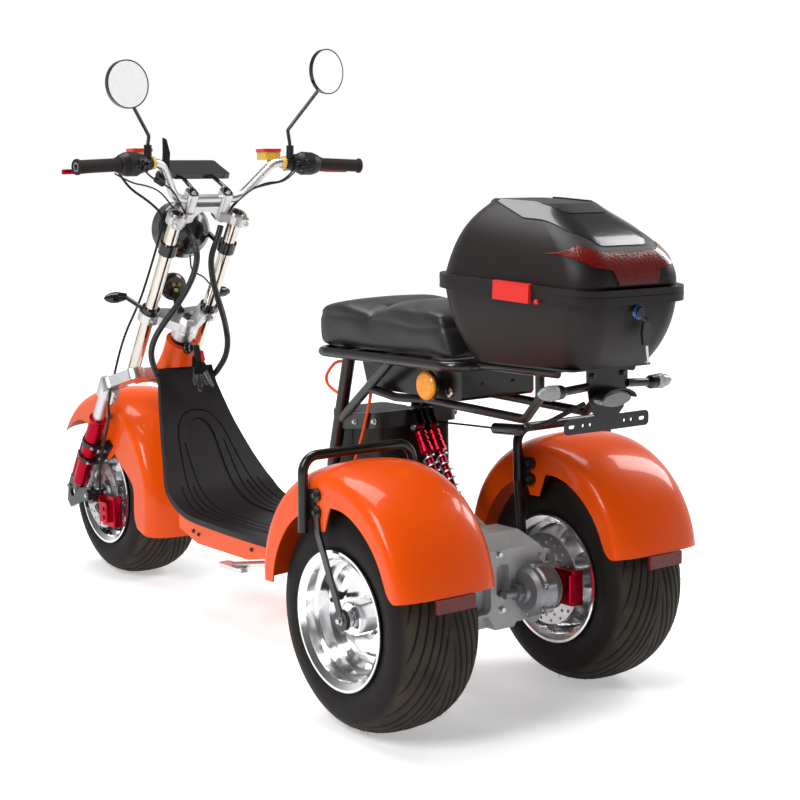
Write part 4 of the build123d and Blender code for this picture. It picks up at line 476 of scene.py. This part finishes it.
def tyre(wheel, node, body):
    """A balloon tyre with long grooves that sweep from the crown out to the shoulders."""
    low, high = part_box(node)
    centre = (low + high) / 2
    half = (high.x - low.x) / 2
    outer = (high.z - low.z) / 2
    rim = RIM_RADIUS
    side = [(0.0, outer), (0.3, outer - 0.0014), (0.45, outer - 0.004), (0.62, outer - 0.0098),
            (0.76, outer - 0.0172), (0.82, outer - 0.022), (0.9, outer - 0.0335), (0.965, outer - 0.049),
            (0.992, rim + 0.038), (0.985, rim + 0.022), (0.955, rim + 0.009), (0.925, rim + 0.002),
            (0.9, rim - 0.004)]
    fine = []
    for (x0, r0), (x1, r1) in zip(side, side[1:]):
        steps = max(2, round(hypot((x1 - x0) * half, r1 - r0) / (0.0016 if x1 < 0.9 else 0.005)))
        fine += [(x0 + (x1 - x0) * i / steps, r0 + (r1 - r0) * i / steps) for i in range(steps)]
    fine.append(side[-1])
    knots = np.array(side)
    length = np.concatenate(([0], np.cumsum(np.hypot(np.diff(knots[:, 0]) * half, np.diff(knots[:, 1])))))
    spots = np.concatenate(([0], np.cumsum(np.hypot(np.diff([x for x, r in fine]) * half,
                                                    np.diff([r for x, r in fine])))))
    smooth_x = soften(np.interp(spots, length, knots[:, 0]))
    smooth_r = soften(np.interp(spots, length, knots[:, 1]))
    xs = np.concatenate((-smooth_x[:0:-1], smooth_x)) * half
    rs = np.concatenate((smooth_r[:0:-1], smooth_r))
    round_steps = 420
    angle = np.arange(round_steps) * 2 * pi / round_steps
    grid_x = np.repeat(xs[None, :], round_steps, 0)
    grid_r = np.repeat(rs[None, :], round_steps, 0)
    turn = np.repeat(angle[:, None], len(xs), 1)
    cut = np.zeros_like(grid_x)
    for mirror in (-1, 1):
        for k in range(GROOVES):
            along = ((turn - k * 2 * pi / GROOVES - (mirror > 0) * pi / GROOVES) % (2 * pi)) / GROOVE_SWEEP
            inside = np.clip(along, 0, 1)
            path = mirror * (0.004 + TREAD_HALF * inside ** 1.15)
            width = 0.0024 * np.clip(inside * 9, 0, 1) * np.clip((1 - inside) * 7, 0, 1)
            reach = np.clip(1.35 - np.abs(grid_x - path) / np.maximum(width, 1e-5), 0, 1)
            cut = np.maximum(cut, np.where((along <= 1) & (width > 3e-4), reach, 0))
    cut = cut * cut * (3 - 2 * cut)
    tread = np.clip((0.09 - np.abs(grid_x)) / 0.006, 0, 1)
    grid_r = grid_r - 0.0042 * cut
    points = np.stack((grid_x, grid_r * np.cos(turn), -grid_r * np.sin(turn)), -1)
    points = points.reshape(-1, 3) + centre[:]
    wide = len(xs)
    i, j = np.meshgrid(np.arange(round_steps), np.arange(wide - 1), indexing="ij")
    nxt = (i + 1) % round_steps
    faces = np.stack((i * wide + j, nxt * wide + j, nxt * wide + j + 1, i * wide + j + 1), -1)
    faces = faces.reshape(-1, 4)
    data = bpy.data.meshes.new(f"{wheel}_tread")
    data.from_pydata(points.tolist(), [], faces.tolist())
    # the groove mask also tells the tyre material where to paint shade into the grooves
    for name, values in (("groove", cut), ("tread", tread)):
        layer = data.attributes.new(name, "FLOAT", "POINT").data
        layer.foreach_set("value", values.reshape(-1).astype(np.float32))
    data.shade_smooth()
    piece = add_piece(f"{wheel}_tread", data, "tyre_rubber", body)
    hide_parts(node)

    # the moulding hairs left on the shoulders
    hairs = Form()
    random = Random(7 + len(wheel))
    for i in range(170):
        at = random.uniform(0, 2 * pi)
        if 0.62 < (at % (2 * pi)) / pi < 0.98 and random.random() < 0.2:
            continue
        out = Vector((0, cos(at), -sin(at)))
        x = random.choice(SIDES) * random.uniform(0.045, 0.094)
        radius = np.interp(abs(x) / half, smooth_x, smooth_r)
        foot = centre + OUT * x + out * (radius - 0.001)
        aside = OUT * random.uniform(-0.5, 0.5)
        around = out.cross(OUT) * random.uniform(-0.5, 0.5)
        lean = (out + aside + around).normalized()
        reach = min(random.uniform(4.0, 8.5), (outer - radius) / MM + (5.0 if out.z > -0.75 else 0.0))
        if reach > 2.5:
            hairs.turn(foot, lean, [(0, 0.55), (reach * 0.7, 0.4), (reach, 0)], 4)
    hairs.finish(f"{wheel}_hairs", "tyre_rubber", body)


def soften(values):
    """A line of values smoothed a little, its ends kept."""
    for _ in range(14):
        values[1:-1] = (values[:-2] + 2 * values[1:-1] + values[2:]) / 4
    return values


# ---- seat ----
SEAT_VOXEL = 0.006
ROUNDING_STEPS = 40
PRESSURE = 3.0
CLOTH_FRAMES = 20
IRONING_STEPS = 60
SWELL_SHARE = 0.45
SWELL_MOST = 0.012


def seat():
    """The seat cushion, swollen by cloth simulation, with its crease and sewn seams."""
    low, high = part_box("seat_pad")
    centre = (low + high) / 2
    size = high - low
    source = NODES["seat_pad"].data
    data = source.copy()
    data.name = "seat_cushion"
    margin = 0.001
    shrink = Vector([(size[k] - 2 * margin) / size[k] for k in range(3)])
    for vertex in data.vertices:
        vertex.co = centre + Vector([(vertex.co[k] - centre[k]) * shrink[k] for k in range(3)])
        vertex.co.z -= margin - 0.0005
    data.materials.clear()
    cushion = add_piece("seat_cushion", data, "seat_leather", "chassis")
    voxels = cushion.modifiers.new("remesh", "REMESH")
    voxels.mode = "VOXEL"
    voxels.voxel_size = SEAT_VOXEL
    rounding = cushion.modifiers.new("rounding", "SMOOTH")
    rounding.factor = 0.5
    rounding.iterations = ROUNDING_STEPS
    settle(cushion)
    rest = [v.co.copy() for v in cushion.data.vertices]
    cloth = cushion.modifiers.new("cloth", "CLOTH")
    cloth.settings.use_pressure = True
    cloth.settings.uniform_pressure_force = PRESSURE
    cloth.settings.effector_weights.gravity = 0.0
    cloth.point_cache.frame_start = 1
    cloth.point_cache.frame_end = CLOTH_FRAMES
    for step in range(1, CLOTH_FRAMES + 1):
        bpy.context.scene.frame_set(step)
    ironed = cushion.modifiers.new("ironed", "SMOOTH")
    ironed.factor = 0.5
    ironed.iterations = IRONING_STEPS
    settle(cushion)
    bpy.context.scene.frame_set(1)
    floor_z = low.z
    for vertex, before in zip(cushion.data.vertices, rest):
        move = (vertex.co - before) * SWELL_SHARE
        if move.length > SWELL_MOST:
            move *= SWELL_MOST / move.length
        place = before + move
        side = min(1.0, max(0.0, (place.z - floor_z) / 0.02))
        place.z = floor_z if place.z < floor_z + 0.0015 else before.z + move.z * side
        vertex.co = place
    shape_seat(cushion.data, low, high)
    for polygon in cushion.data.polygons:
        polygon.use_smooth = True
    smoother = cushion.modifiers.new("smooth", "SUBSURF")
    smoother.levels = 1
    smoother.render_levels = 1
    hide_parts("seat_pad")


def settle(piece):
    """Turns a piece's modifiers into its own mesh."""
    bpy.context.view_layer.update()
    graph = bpy.context.evaluated_depsgraph_get()
    made = bpy.data.meshes.new_from_object(piece.evaluated_get(graph))
    piece.modifiers.clear()
    piece.data = made


SEAM_DROP = 0.03
CREASE_Y = 0.455


def shape_seat(data, low, high):
    """Presses the crease across the seat and the seams along its upper edges."""
    for vertex in data.vertices:
        x, y, z = vertex.co
        top = high.z - 0.006
        near_top = max(0.0, min(1.0, (z - top + 0.05) / 0.05))
        crease = exp(-((y - CREASE_Y) / 0.009) ** 2)
        broad = exp(-((y - CREASE_Y) / 0.05) ** 2)
        vertex.co.z -= near_top * (0.006 * crease + 0.006 * broad)
        # the seam that runs round below the upper edge
        seam_z = high.z - SEAM_DROP - 0.012 * exp(-((y - 0.63) / 0.09) ** 2)
        if abs(x) > 0.12 or y < low.y + 0.03 or y > high.y - 0.03:
            pull = exp(-((z - seam_z) / 0.0045) ** 2)
            inward = Vector((-copysign(1, x) if abs(x) > 0.12 else 0.0,
                             1.0 if y < low.y + 0.03 else (-1.0 if y > high.y - 0.03 else 0.0), 0))
            vertex.co += inward * 0.0032 * pull


# ---- fasteners ----
def steering_bolts():
    """Screws and plugs of the yokes, crown, clamps, risers and front caliper."""
    zinc = Form()
    plugs = Form()
    for s in SIDES:
        # dark plugs in the fork tops, pinch screws behind the yokes and the bar clamps' screws
        plugs.turn(steer(s * 87, 885, 47), UP, [(0, 12.5), (5, 12.5), (6, 11.5), (6, 7), (3, 6), (3, 0)])
        zinc.hex_bolt(steer(s * 104, 880, 15), s * OUT * 0.5 - AHEAD, 6.5)
        zinc.socket_bolt(steer(s * 50, 948.5, 78), UP, 5)
        zinc.hex_bolt(steer(s * 50, 948.5, 56), UP, 6)
        zinc.socket_bolt(steer(s * 66, 934, 67), s * OUT, 4)
        zinc.hex_bolt(steer(s * 88, 578, 17.5), -AHEAD, 6.5)
        zinc.hex_bolt(steer(s * 38, 591, 34), UP, 5.5)
        # crown: pinch screws of the legs and the stem's two screws
        zinc.hex_bolt(steer(s * 127, 309, 32), -AHEAD, 6)
        zinc.socket_bolt(steer(s * 127, 326, 32), -AHEAD, 4.5)
        for up in (80, 132):
            zinc.socket_bolt(steer(s * 145.5, up, 44), s * OUT, 4.5)
        for up, ahead in ((92, 42), (132, 28)):
            zinc.socket_bolt(steer(s * 113, up, ahead), s * OUT, 4.5)
        zinc.hex_bolt(FRONT_AXLE + OUT * s * 149 * MM, s * OUT, 9)
        zinc.socket_bolt(steer(s * 146, -56, 108), s * OUT, 5)
        zinc.socket_bolt(steer(s * 137, 62, 119), AHEAD, 4)
    plugs.turn(steer(0, 604.5, 0), UP, [(0, 11), (3, 11), (4, 9), (4, 0)])
    zinc.finish("steering_screws", "disc_steel", "steering", ZINC)
    plugs.finish("fork_plugs", "lamp_black", "steering")


def chassis_bolts():
    """Screws of the frame, carrier, gearbox, fender brackets, skirt and tail."""
    zinc = Form()
    black = Form()
    for s in SIDES:
        for z in (446, 480):
            black.hex_bolt(mm(s * 399.2, 631.5, z), s * OUT, 7)
            black.hex_bolt(mm(s * 146.8, 631.5, z), -s * OUT, 7)
        zinc.hex_bolt(mm(s * 368.1, REAR_AXLE.y / MM, REAR_AXLE.z / MM), s * OUT, 8.5)
        for y, z in ((-279, 229), (-254, 224), (-7, 228)):
            black.hex_bolt(mm(s * 155, y, z), s * OUT, 5.5)
        zinc.hex_bolt(mm(s * 108.1, 428, 573), s * OUT, 7)
        zinc.hex_bolt(mm(s * 108.1, 356, 565), s * OUT, 6)
        for y in (352, 690):
            zinc.hex_bolt(mm(s * 120, y, 707.8), (0, 0, -1), 6)
        black.hex_bolt(mm(s * 38, 1021.1, 714), (0, 1, 0), 6)
        black.socket_bolt(mm(s * 40, 707.1, 672), (0, 1, 0), 3.5)
        for y, z in ((720, 268), (720, 236)):
            zinc.hex_bolt(mm(s * 170, 756, z), (0, 1, 0), 5)
        for spot in ((461, 556), (566, 378)):
            zinc.hex_bolt(mm(s * 29.2, *spot), s * OUT, 6.5)
        zinc.hex_bolt(mm(s * 74.2, 486, 250), s * OUT, 9)
    for x, z in ((15, 322), (8, 206), (-94, 303), (-94, 196), (94, 303), (94, 196)):
        zinc.hex_bolt(mm(x, 722, z), (0, 1, 0), 8)
    for k in range(6):
        angle = radians(20 + 60 * k)
        zinc.socket_bolt(mm(-47.9, 746 + 52 * cos(angle), 243 + 52 * sin(angle)), OUT, 5)
    zinc.hex_bolt(mm(131.4, 30, 196), OUT, 8)
    zinc.finish("frame_screws", "disc_steel", "chassis", ZINC)
    black.finish("black_screws", "paint_black", "chassis", BLACK_ZINC)


def wheel_details():
    """Disc screws and valve stems."""
    for wheel, body, face, open_side in (("front", "front_wheel", 108, -1),
                                         ("rear_left", "rear_wheel_left", 167, 1),
                                         ("rear_right", "rear_wheel_right", -167, -1)):
        centre = wheel_centres[wheel]
        screws = Form()
        toward = 1 if face > 0 else -1
        if wheel != "front":
            toward = -toward
        ring = 0.024 if wheel == "front" else 0.034
        for k in range(5):
            angle = 2 * pi * k / 5 + 0.3
            spot = Vector((face * MM, centre.y + ring * cos(angle), centre.z + ring * sin(angle)))
            screws.socket_bolt(spot, OUT * toward, 4.5)
        screws.finish(f"{wheel}_disc_screws", "disc_steel", body, ZINC)
        valve = Form()
        angle = radians(168)
        out = Vector((0, cos(angle), sin(angle)))
        foot = centre + OUT * open_side * 0.028 + out * 0.098
        lean = (OUT * open_side * 0.9 - out * 0.35).normalized()
        valve.turn(foot, lean, [(-4, 8), (3, 8), (6, 5), (16, 4.2), (17, 5.4), (28, 5.4), (30, 4.4),
                                (30, 0)], 16)
        valve.finish(f"{wheel}_valve", "grip_rubber", body)


# ---- pipes and cables held by the scooter ----
LOOM_RADIUS = 8.0
HOSE_RADIUS = 3.2
SWITCH_LEAD_RADIUS = 2.3
THIN_LEAD_RADIUS = 2.2
BRAKE_LINE_RADIUS = 2.0
ORANGE_RADIUS = 3.4
TAIL_LOOM_RADIUS = 5.0


def looms():
    """Spiral-wrapped looms from handlebar to mat, the front brake's hose and thin leads."""
    left = [mm(52, -454, 973), mm(52, -418, 946), mm(52, -400, 913), mm(52, -404, 883), mm(52, -428, 845),
            mm(58, -459, 806), mm(76, -481, 767), mm(92, -514, 728), mm(105, -543, 688), mm(108, -560, 652),
            mm(100, -568, 621), mm(82, -577, 588), mm(64, -592, 556)]
    right = [mm(-45, -444, 975), mm(-34, -442, 944), mm(-22, -455, 905), mm(-22, -461, 870),
             mm(-30, -464, 827),
             mm(-48, -473, 782), mm(-76, -497, 740), mm(-104, -530, 697), mm(-112, -537, 661),
             mm(-112, -552, 623),
             mm(-104, -570, 596), mm(-94, -581, 576), mm(-70, -592, 556)]
    for name, route in (("loom_left", left), ("loom_right", right)):
        piece = as_mesh(run_line(name, route, LOOM_RADIUS, "grip_rubber", None, LOOM_WRAP))
        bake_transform(piece)
    hose = [mm(240, -452, 1118), mm(222, -462, 1098), mm(196, -466, 1070), mm(150, -460, 1040),
            steer(104, 870, 78),
            steer(98, 800, 78), steer(97, 640, 84), steer(98, 580, 90), steer(118, 470, 88),
            mm(140, -737, 530),
            mm(140, -752, 496), mm(140, -746, 459), steer(124, 150, 30), steer(124, 60, 10),
            steer(124, 10, -30)]
    run_line("brake_hose", hose, HOSE_RADIUS, "grip_rubber", "steering", CABLE)
    lamp_lead = [mm(10, -510, 900), mm(16, -500, 880), mm(18, -490, 862), mm(2, -480, 850),
                 mm(-14, -480, 842),
                 mm(-30, -486, 826)]
    run_line("lamp_lead", lamp_lead, THIN_LEAD_RADIUS, "grip_rubber", "steering", CABLE)
    clip = Form()
    clip.turn(steer(118, 238, 44), UP, [(0, 5), (0, 6.5), (9, 6.5), (9, 5)], 16)
    clip.finish("hose_clip", "lamp_black", "steering")
    # thin leads from the switch housings to behind the top yoke
    for s, drop in ((1, 0), (-1, 12)):
        lead = [mm(s * 212, -356, 1112), mm(s * 190, -366, 1096 - drop), mm(s * 150, -385, 1084),
                mm(s * 110, -405, 1064),
                mm(s * 84, -424, 1036), mm(s * 62, -436, 1008), mm(s * 46, -446, 984)]
        run_line("lead_left" if s > 0 else "lead_right", lead, SWITCH_LEAD_RADIUS, "grip_rubber",
                 "steering", CABLE)
        lead = [mm(s * 262, -424, 1110), mm(s * 226, -410, 1086), mm(s * 180, -418, 1080),
                mm(s * 130, -440, 1066),
                mm(s * 90, -456, 1030), mm(s * 60, -462, 992)]
        run_line("brake_line_left" if s > 0 else "brake_line_right", lead, BRAKE_LINE_RADIUS,
                 "grip_rubber", "steering", CABLE)


# ---- handlebar ----
def controls():
    """Buttons on the switch housings and the small lever by the left controls."""
    buttons = Form()
    reds = Form()
    for s in SIDES:
        for x, y, z, r in ((238, 26, 8, 5), (226, 24, -10, 6), (250, 24, -6, 5), (214, 22, 4, 4)):
            spot = mm(s * x, -355 + y, 1128 + z)
            cap = [(-4, r + 1.5), (3, r + 1.5), (4, r), (6, r), (7, r - 1), (7, 0)]
            buttons.turn(spot, (0, 1, 0.15 * (z > 0)), cap, 14)
        reds.turn(mm(s * 236, -352, 1152), (0, 0.3, 1), [(-4, 5), (5, 5), (6, 4), (6, 0)], 14)
    buttons.finish("switch_buttons", "switch_plastic", "steering", SATIN_BLACK)
    reds.finish("switch_caps", "latch_red", "steering")
    lever = Form()
    lever.plate([mm(150, -392, 1112), mm(136, -386, 1110), mm(128, -392, 1158), mm(131, -402, 1192),
                 mm(136, -408, 1196), mm(141, -400, 1160)], (-0.3, 1, 0), 5)
    lever.turn(mm(144, -398, 1104), (0, 1, 0.1), [(-12, 14), (8, 14), (11, 10), (11, 0)], 16)
    lever.turn(mm(158, -390, 1090), (1, 0.3, 0.5), [(-14, 9), (12, 9), (14, 6), (14, 0)], 12)
    lever.finish("small_lever", "switch_plastic", "steering")


# ---- keys and locks ----
def keys():
    """The ignition lock under the lower yoke with its keys, and the case's lock collar and keys."""
    barrel = Form()
    barrel.turn(mm(0, -560, 652), (0, 1, 0.35), [(0, 0), (0, 15), (10, 15), (12, 13), (12, 10), (10, 9),
                                                 (10, 0)])
    barrel.finish("ignition_lock", "lamp_black", "chassis")
    steel = Form()
    heads = Form()
    for x, y, z, lean, wide in ((-4, -530, 606, 0.14, 8), (-14, -527, 600, -0.05, 9),
                                (-22, -524, 602, -0.22, 8),
                                (-10, -520, 588, 0.05, 11), (-30, -520, 594, -0.4, 8)):
        down = Vector((lean, 0.16, -1)).normalized()
        across = down.cross(Vector((0.25, 1, 0.2))).normalized()
        start = mm(x, y, z)
        heads.plate([start - across * 0.006 - down * 0.03, start + across * 0.006 - down * 0.03,
                     start + across * wide * MM - down * 0.018, start + across * wide * MM,
                     start - across * wide * MM, start - across * wide * MM - down * 0.018],
                    (0.2, 1, 0.1), 4.5)
        steel.plate([start - across * 0.0048, start + across * 0.0048,
                     start + across * 0.0048 + down * 0.04,
                     start + down * 0.048, start - across * 0.0048 + down * 0.042], (0.2, 1, 0.1), 2.2)
    heads.plate([mm(-2, -528, 664), mm(-14, -528, 664), mm(-18, -526, 640), mm(-14, -524, 620),
                 mm(-4, -524, 620),
                 mm(0, -526, 640)], (0.1, 1, 0.1), 8)
    heads.finish("key_heads", "lamp_black", "chassis")
    tag = Form()
    tag.plate([mm(-16, -524, 650), mm(-26, -522, 648), mm(-30, -520, 622), mm(-20, -520, 618)],
              (0.1, 1, 0.1), 2)
    tag.finish("key_tag", "latch_red", "chassis")
    steel.turn(mm(-2, -534, 656), (0.9, 0.5, 0.1), [(-0.8, 11), (0.8, 11), (0.8, 13), (-0.8, 13),
                                                    (-0.8, 11)], 24)
    fob = Form()
    fob.plate([mm(-6, 1103, 816), mm(-20, 1103, 816), mm(-26, 1102, 796), mm(-20, 1100, 774),
               mm(-8, 1100, 774),
               mm(-3, 1102, 796)], (0.1, 1, 0), 7)
    fob.turn(mm(0, 1102.4, 834), (0, 1, 0), [(-1, 11), (5, 11), (6.5, 9), (6.5, 0)], 20)
    fob.turn(mm(-4, 1102, 828), (-0.5, 0.3, -0.6), [(0, 5), (14, 5), (14, 0)], 10)
    fob.finish("case_keys", "lamp_black", "chassis")
    collar = Form()
    collar.turn(mm(0, 1102.4, 834), (0, 1, 0), [(-1, 14), (1.4, 14), (2.2, 12.5), (2.2, 10)], 24)
    collar.finish("lock_collar", "latch_red", "chassis", BLUE)
    steel.plate([mm(-12, 1105, 772), mm(-18, 1105, 772), mm(-24, 1102, 742), mm(-20, 1102, 738)],
                (0, 1, 0), 2)
    steel.turn(mm(0, 1102.2, 834), (0, 1, 0), [(0, 9), (1.6, 9), (2, 7), (2, 0)], 20)
    steel.finish("keys", "lock_chrome", "chassis")


def case_details():
    """The red dot by the case's latch."""
    dot = Form()
    low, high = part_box("case_latch")
    spot = Vector((high.x - 0.013, high.y + 0.016, low.z + 0.004))
    dot.turn(spot, (1, 0.1, 0), [(-3, 4.5), (2, 4.5), (3, 3.5), (3, 0)], 16)
    dot.finish("latch_dot", "latch_red", "chassis")


def horn_details():
    """Terminals and the set screw on the back of the horn."""
    brass = Form()
    back = Vector((0, FRONT_AXLE.y + 0.266, 0.813))
    for x, z in ((-9, 7), (9, 7)):
        brass.turn(back + mm(x, 0.5, z), (0, 1, 0), [(-2, 4.5), (5, 4.5), (5, 2), (11, 2), (11, 0)], 12)
    brass.turn(back + mm(0, 0.5, -8), (0, 1, 0), [(-2, 6), (4, 6), (5, 5), (5, 0)], 6)
    brass.finish("horn_terminals", "anodised_gold", "steering", BRASS)


def rear_wiring():
    """The orange charging lead under the seat and the tail's loom with its plug."""
    loop = [mm(104, 321, 692), mm(104, 291, 694), mm(104, 259, 674), mm(104, 239, 650), mm(104, 257, 629),
            mm(104, 292, 621)]
    drop = [mm(112, 427, 654), mm(112, 422, 630), mm(112, 403, 574), mm(112, 371, 501), mm(112, 347, 459)]
    thin = [mm(-30, 334, 558), mm(-30, 442, 562), mm(-30, 552, 567), mm(-30, 650, 570)]
    wrapped = [mm(-30, 750, 576), mm(-30, 813, 595), mm(-30, 863, 618), mm(-30, 925, 646)]
    run_line("orange_loop", loop, ORANGE_RADIUS, "grip_rubber", "chassis", CABLE_ORANGE)
    run_line("orange_lead", drop, ORANGE_RADIUS, "grip_rubber", "chassis", CABLE_ORANGE)
    run_line("tail_lead", thin, THIN_LEAD_RADIUS, "grip_rubber", "chassis", CABLE)
    run_line("tail_loom", wrapped, TAIL_LOOM_RADIUS, "grip_rubber", "chassis", LOOM_WRAP)
    plug = Form()
    housing = [(-4, 4), (0, 9), (4, 12), (88, 12), (92, 9), (96, 5), (96, 0)]
    plug.turn(mm(-30, 657, 570), (0, 0.998, 0.065), housing, 16)
    plug.finish("tail_plug", "lamp_black", "chassis")


tyre("front", "front_tyre", "front_wheel")
tyre("rear_left", "rear_tyre_left", "rear_wheel_left")
tyre("rear_right", "rear_tyre_right", "rear_wheel_right")
seat()
steering_bolts()
chassis_bolts()
wheel_details()
looms()
controls()
keys()
case_details()
horn_details()
rear_wiring()

# ---- camera, light and floor ----
CAMERA_AT = Vector((2.103, 3.188, 1.061))
HEADING = 3.7804
TILT = -0.1323
ROLL = -0.0157
LENS = 72.94
SHIFT = 0.00625


def make_camera():
    """The photograph's viewpoint: behind the scooter on its left side, a little above the seat."""
    ahead = Vector((cos(TILT) * sin(HEADING), cos(TILT) * cos(HEADING), sin(TILT)))
    right = ahead.cross(Vector((0, 0, 1))).normalized()
    up = right.cross(ahead)
    across = cos(ROLL) * right + sin(ROLL) * up
    above = cos(ROLL) * up - sin(ROLL) * right
    camera = bpy.data.objects.new("camera", bpy.data.cameras.new("camera"))
    camera.matrix_world = Matrix.Translation(CAMERA_AT) @ Matrix((across, above,
                                                                  -ahead)).transposed().to_4x4()
    camera.data.lens = LENS
    camera.data.shift_x = SHIFT
    camera.data.shift_y = SHIFT
    bpy.context.scene.collection.objects.link(camera)
    bpy.context.scene.camera = camera


def softbox(name, at, aim, width, height, power):
    """A rectangular area light that faces a point."""
    light = bpy.data.lights.new(name, "AREA")
    light.shape = "RECTANGLE"
    light.size = width
    light.size_y = height
    light.energy = power
    lamp = bpy.data.objects.new(name, light)
    lamp.location = at
    lamp.rotation_mode = "QUATERNION"
    lamp.rotation_quaternion = (Vector(aim) - Vector(at)).to_track_quat("-Z", "Y")
    bpy.context.scene.collection.objects.link(lamp)


def make_studio():
    """A white studio: bright sweep below and behind, softboxes at both sides and above."""
    world = bpy.data.worlds.new("studio")
    bpy.context.scene.world = world
    world.use_nodes = True
    tree = world.node_tree
    backdrop = tree.nodes["Background"]
    way = tree.nodes.new("ShaderNodeTexCoord").outputs["Generated"]
    height = tree.nodes.new("ShaderNodeSeparateXYZ")
    tree.links.new(way, height.inputs[0])
    ramp = tree.nodes.new("ShaderNodeValToRGB")
    ramp.color_ramp.interpolation = "B_SPLINE"
    for position, grey in ((0.0, 0.9), (0.2, 0.85), (0.42, 0.3), (0.7, 0.14), (1.0, 0.12)):
        spots = ramp.color_ramp.elements
        stop = spots[0] if position == 0 else (spots[-1] if position == 1 else spots.new(position))
        stop.color = (grey, grey, grey, 1)
    tree.links.new(height.outputs["Z"], ramp.inputs["Fac"])
    toward = tree.nodes.new("ShaderNodeVectorMath")
    toward.operation = "DOT_PRODUCT"
    tree.links.new(way, toward.inputs[0])
    toward.inputs[1].default_value = (-0.6, -0.8, 0)
    sweep = tree.nodes.new("ShaderNodeMapRange")
    for socket, value in (("From Min", -0.5), ("From Max", 0.6), ("To Min", 0.16), ("To Max", 1.0)):
        sweep.inputs[socket].default_value = value
    tree.links.new(toward.outputs["Value"], sweep.inputs["Value"])
    tree.links.new(sweep.outputs["Result"], backdrop.inputs["Strength"])
    seen = tree.nodes.new("ShaderNodeLightPath").outputs["Is Camera Ray"]
    chosen = tree.nodes.new("ShaderNodeMix")
    chosen.data_type = "RGBA"
    tree.links.new(seen, chosen.inputs["Factor"])
    tree.links.new(ramp.outputs["Color"], chosen.inputs[6])
    chosen.inputs[7].default_value = (1, 1, 1, 1)
    tree.links.new(chosen.outputs[2], backdrop.inputs["Color"])
    clear = tree.nodes.new("ShaderNodeMath")
    clear.operation = "MAXIMUM"
    tree.links.new(sweep.outputs["Result"], clear.inputs[0])
    tree.links.new(seen, clear.inputs[1])
    tree.links.new(clear.outputs[0], backdrop.inputs["Strength"])

    softbox("key", (3.4, 1.4, 3.4), (0, 0, 0.4), 1.2, 2.4, 130)
    softbox("fill", (-3.6, 0.6, 3.0), (0, 0.2, 0.4), 1.2, 2.4, 80)
    softbox("top", (0.2, -0.6, 4.2), (0, 0, 0), 2.0, 2.8, 120)

    bpy.ops.mesh.primitive_plane_add(size=60)
    floor = bpy.context.object
    floor.name = "floor"
    sheet = Shader("floor_white", (0.93, 0.93, 0.935), 0.6, Specular_IOR_Level=0.2)
    # painted light: the floor glows, least near the scooter and more further out, and brighter as the
    # camera sees it than as it lights the scooter
    sheet.set("Emission Color", (1, 1, 1, 1))
    reach = sheet.node("ShaderNodeVectorMath", {0: sheet.place()}, operation="LENGTH").outputs["Value"]
    seen = sheet.node("ShaderNodeLightPath").outputs["Is Camera Ray"]
    sheet.set("Emission Strength", sheet.maths("MULTIPLY", sheet.spread(reach, 0.42, 1.0, 1.4, 4.5),
                                               sheet.spread(seen, 0.45, 1.0)))
    floor.data.materials.append(sheet.material)
    bpy.context.scene.view_settings.view_transform = "Standard"


make_camera()
make_studio()
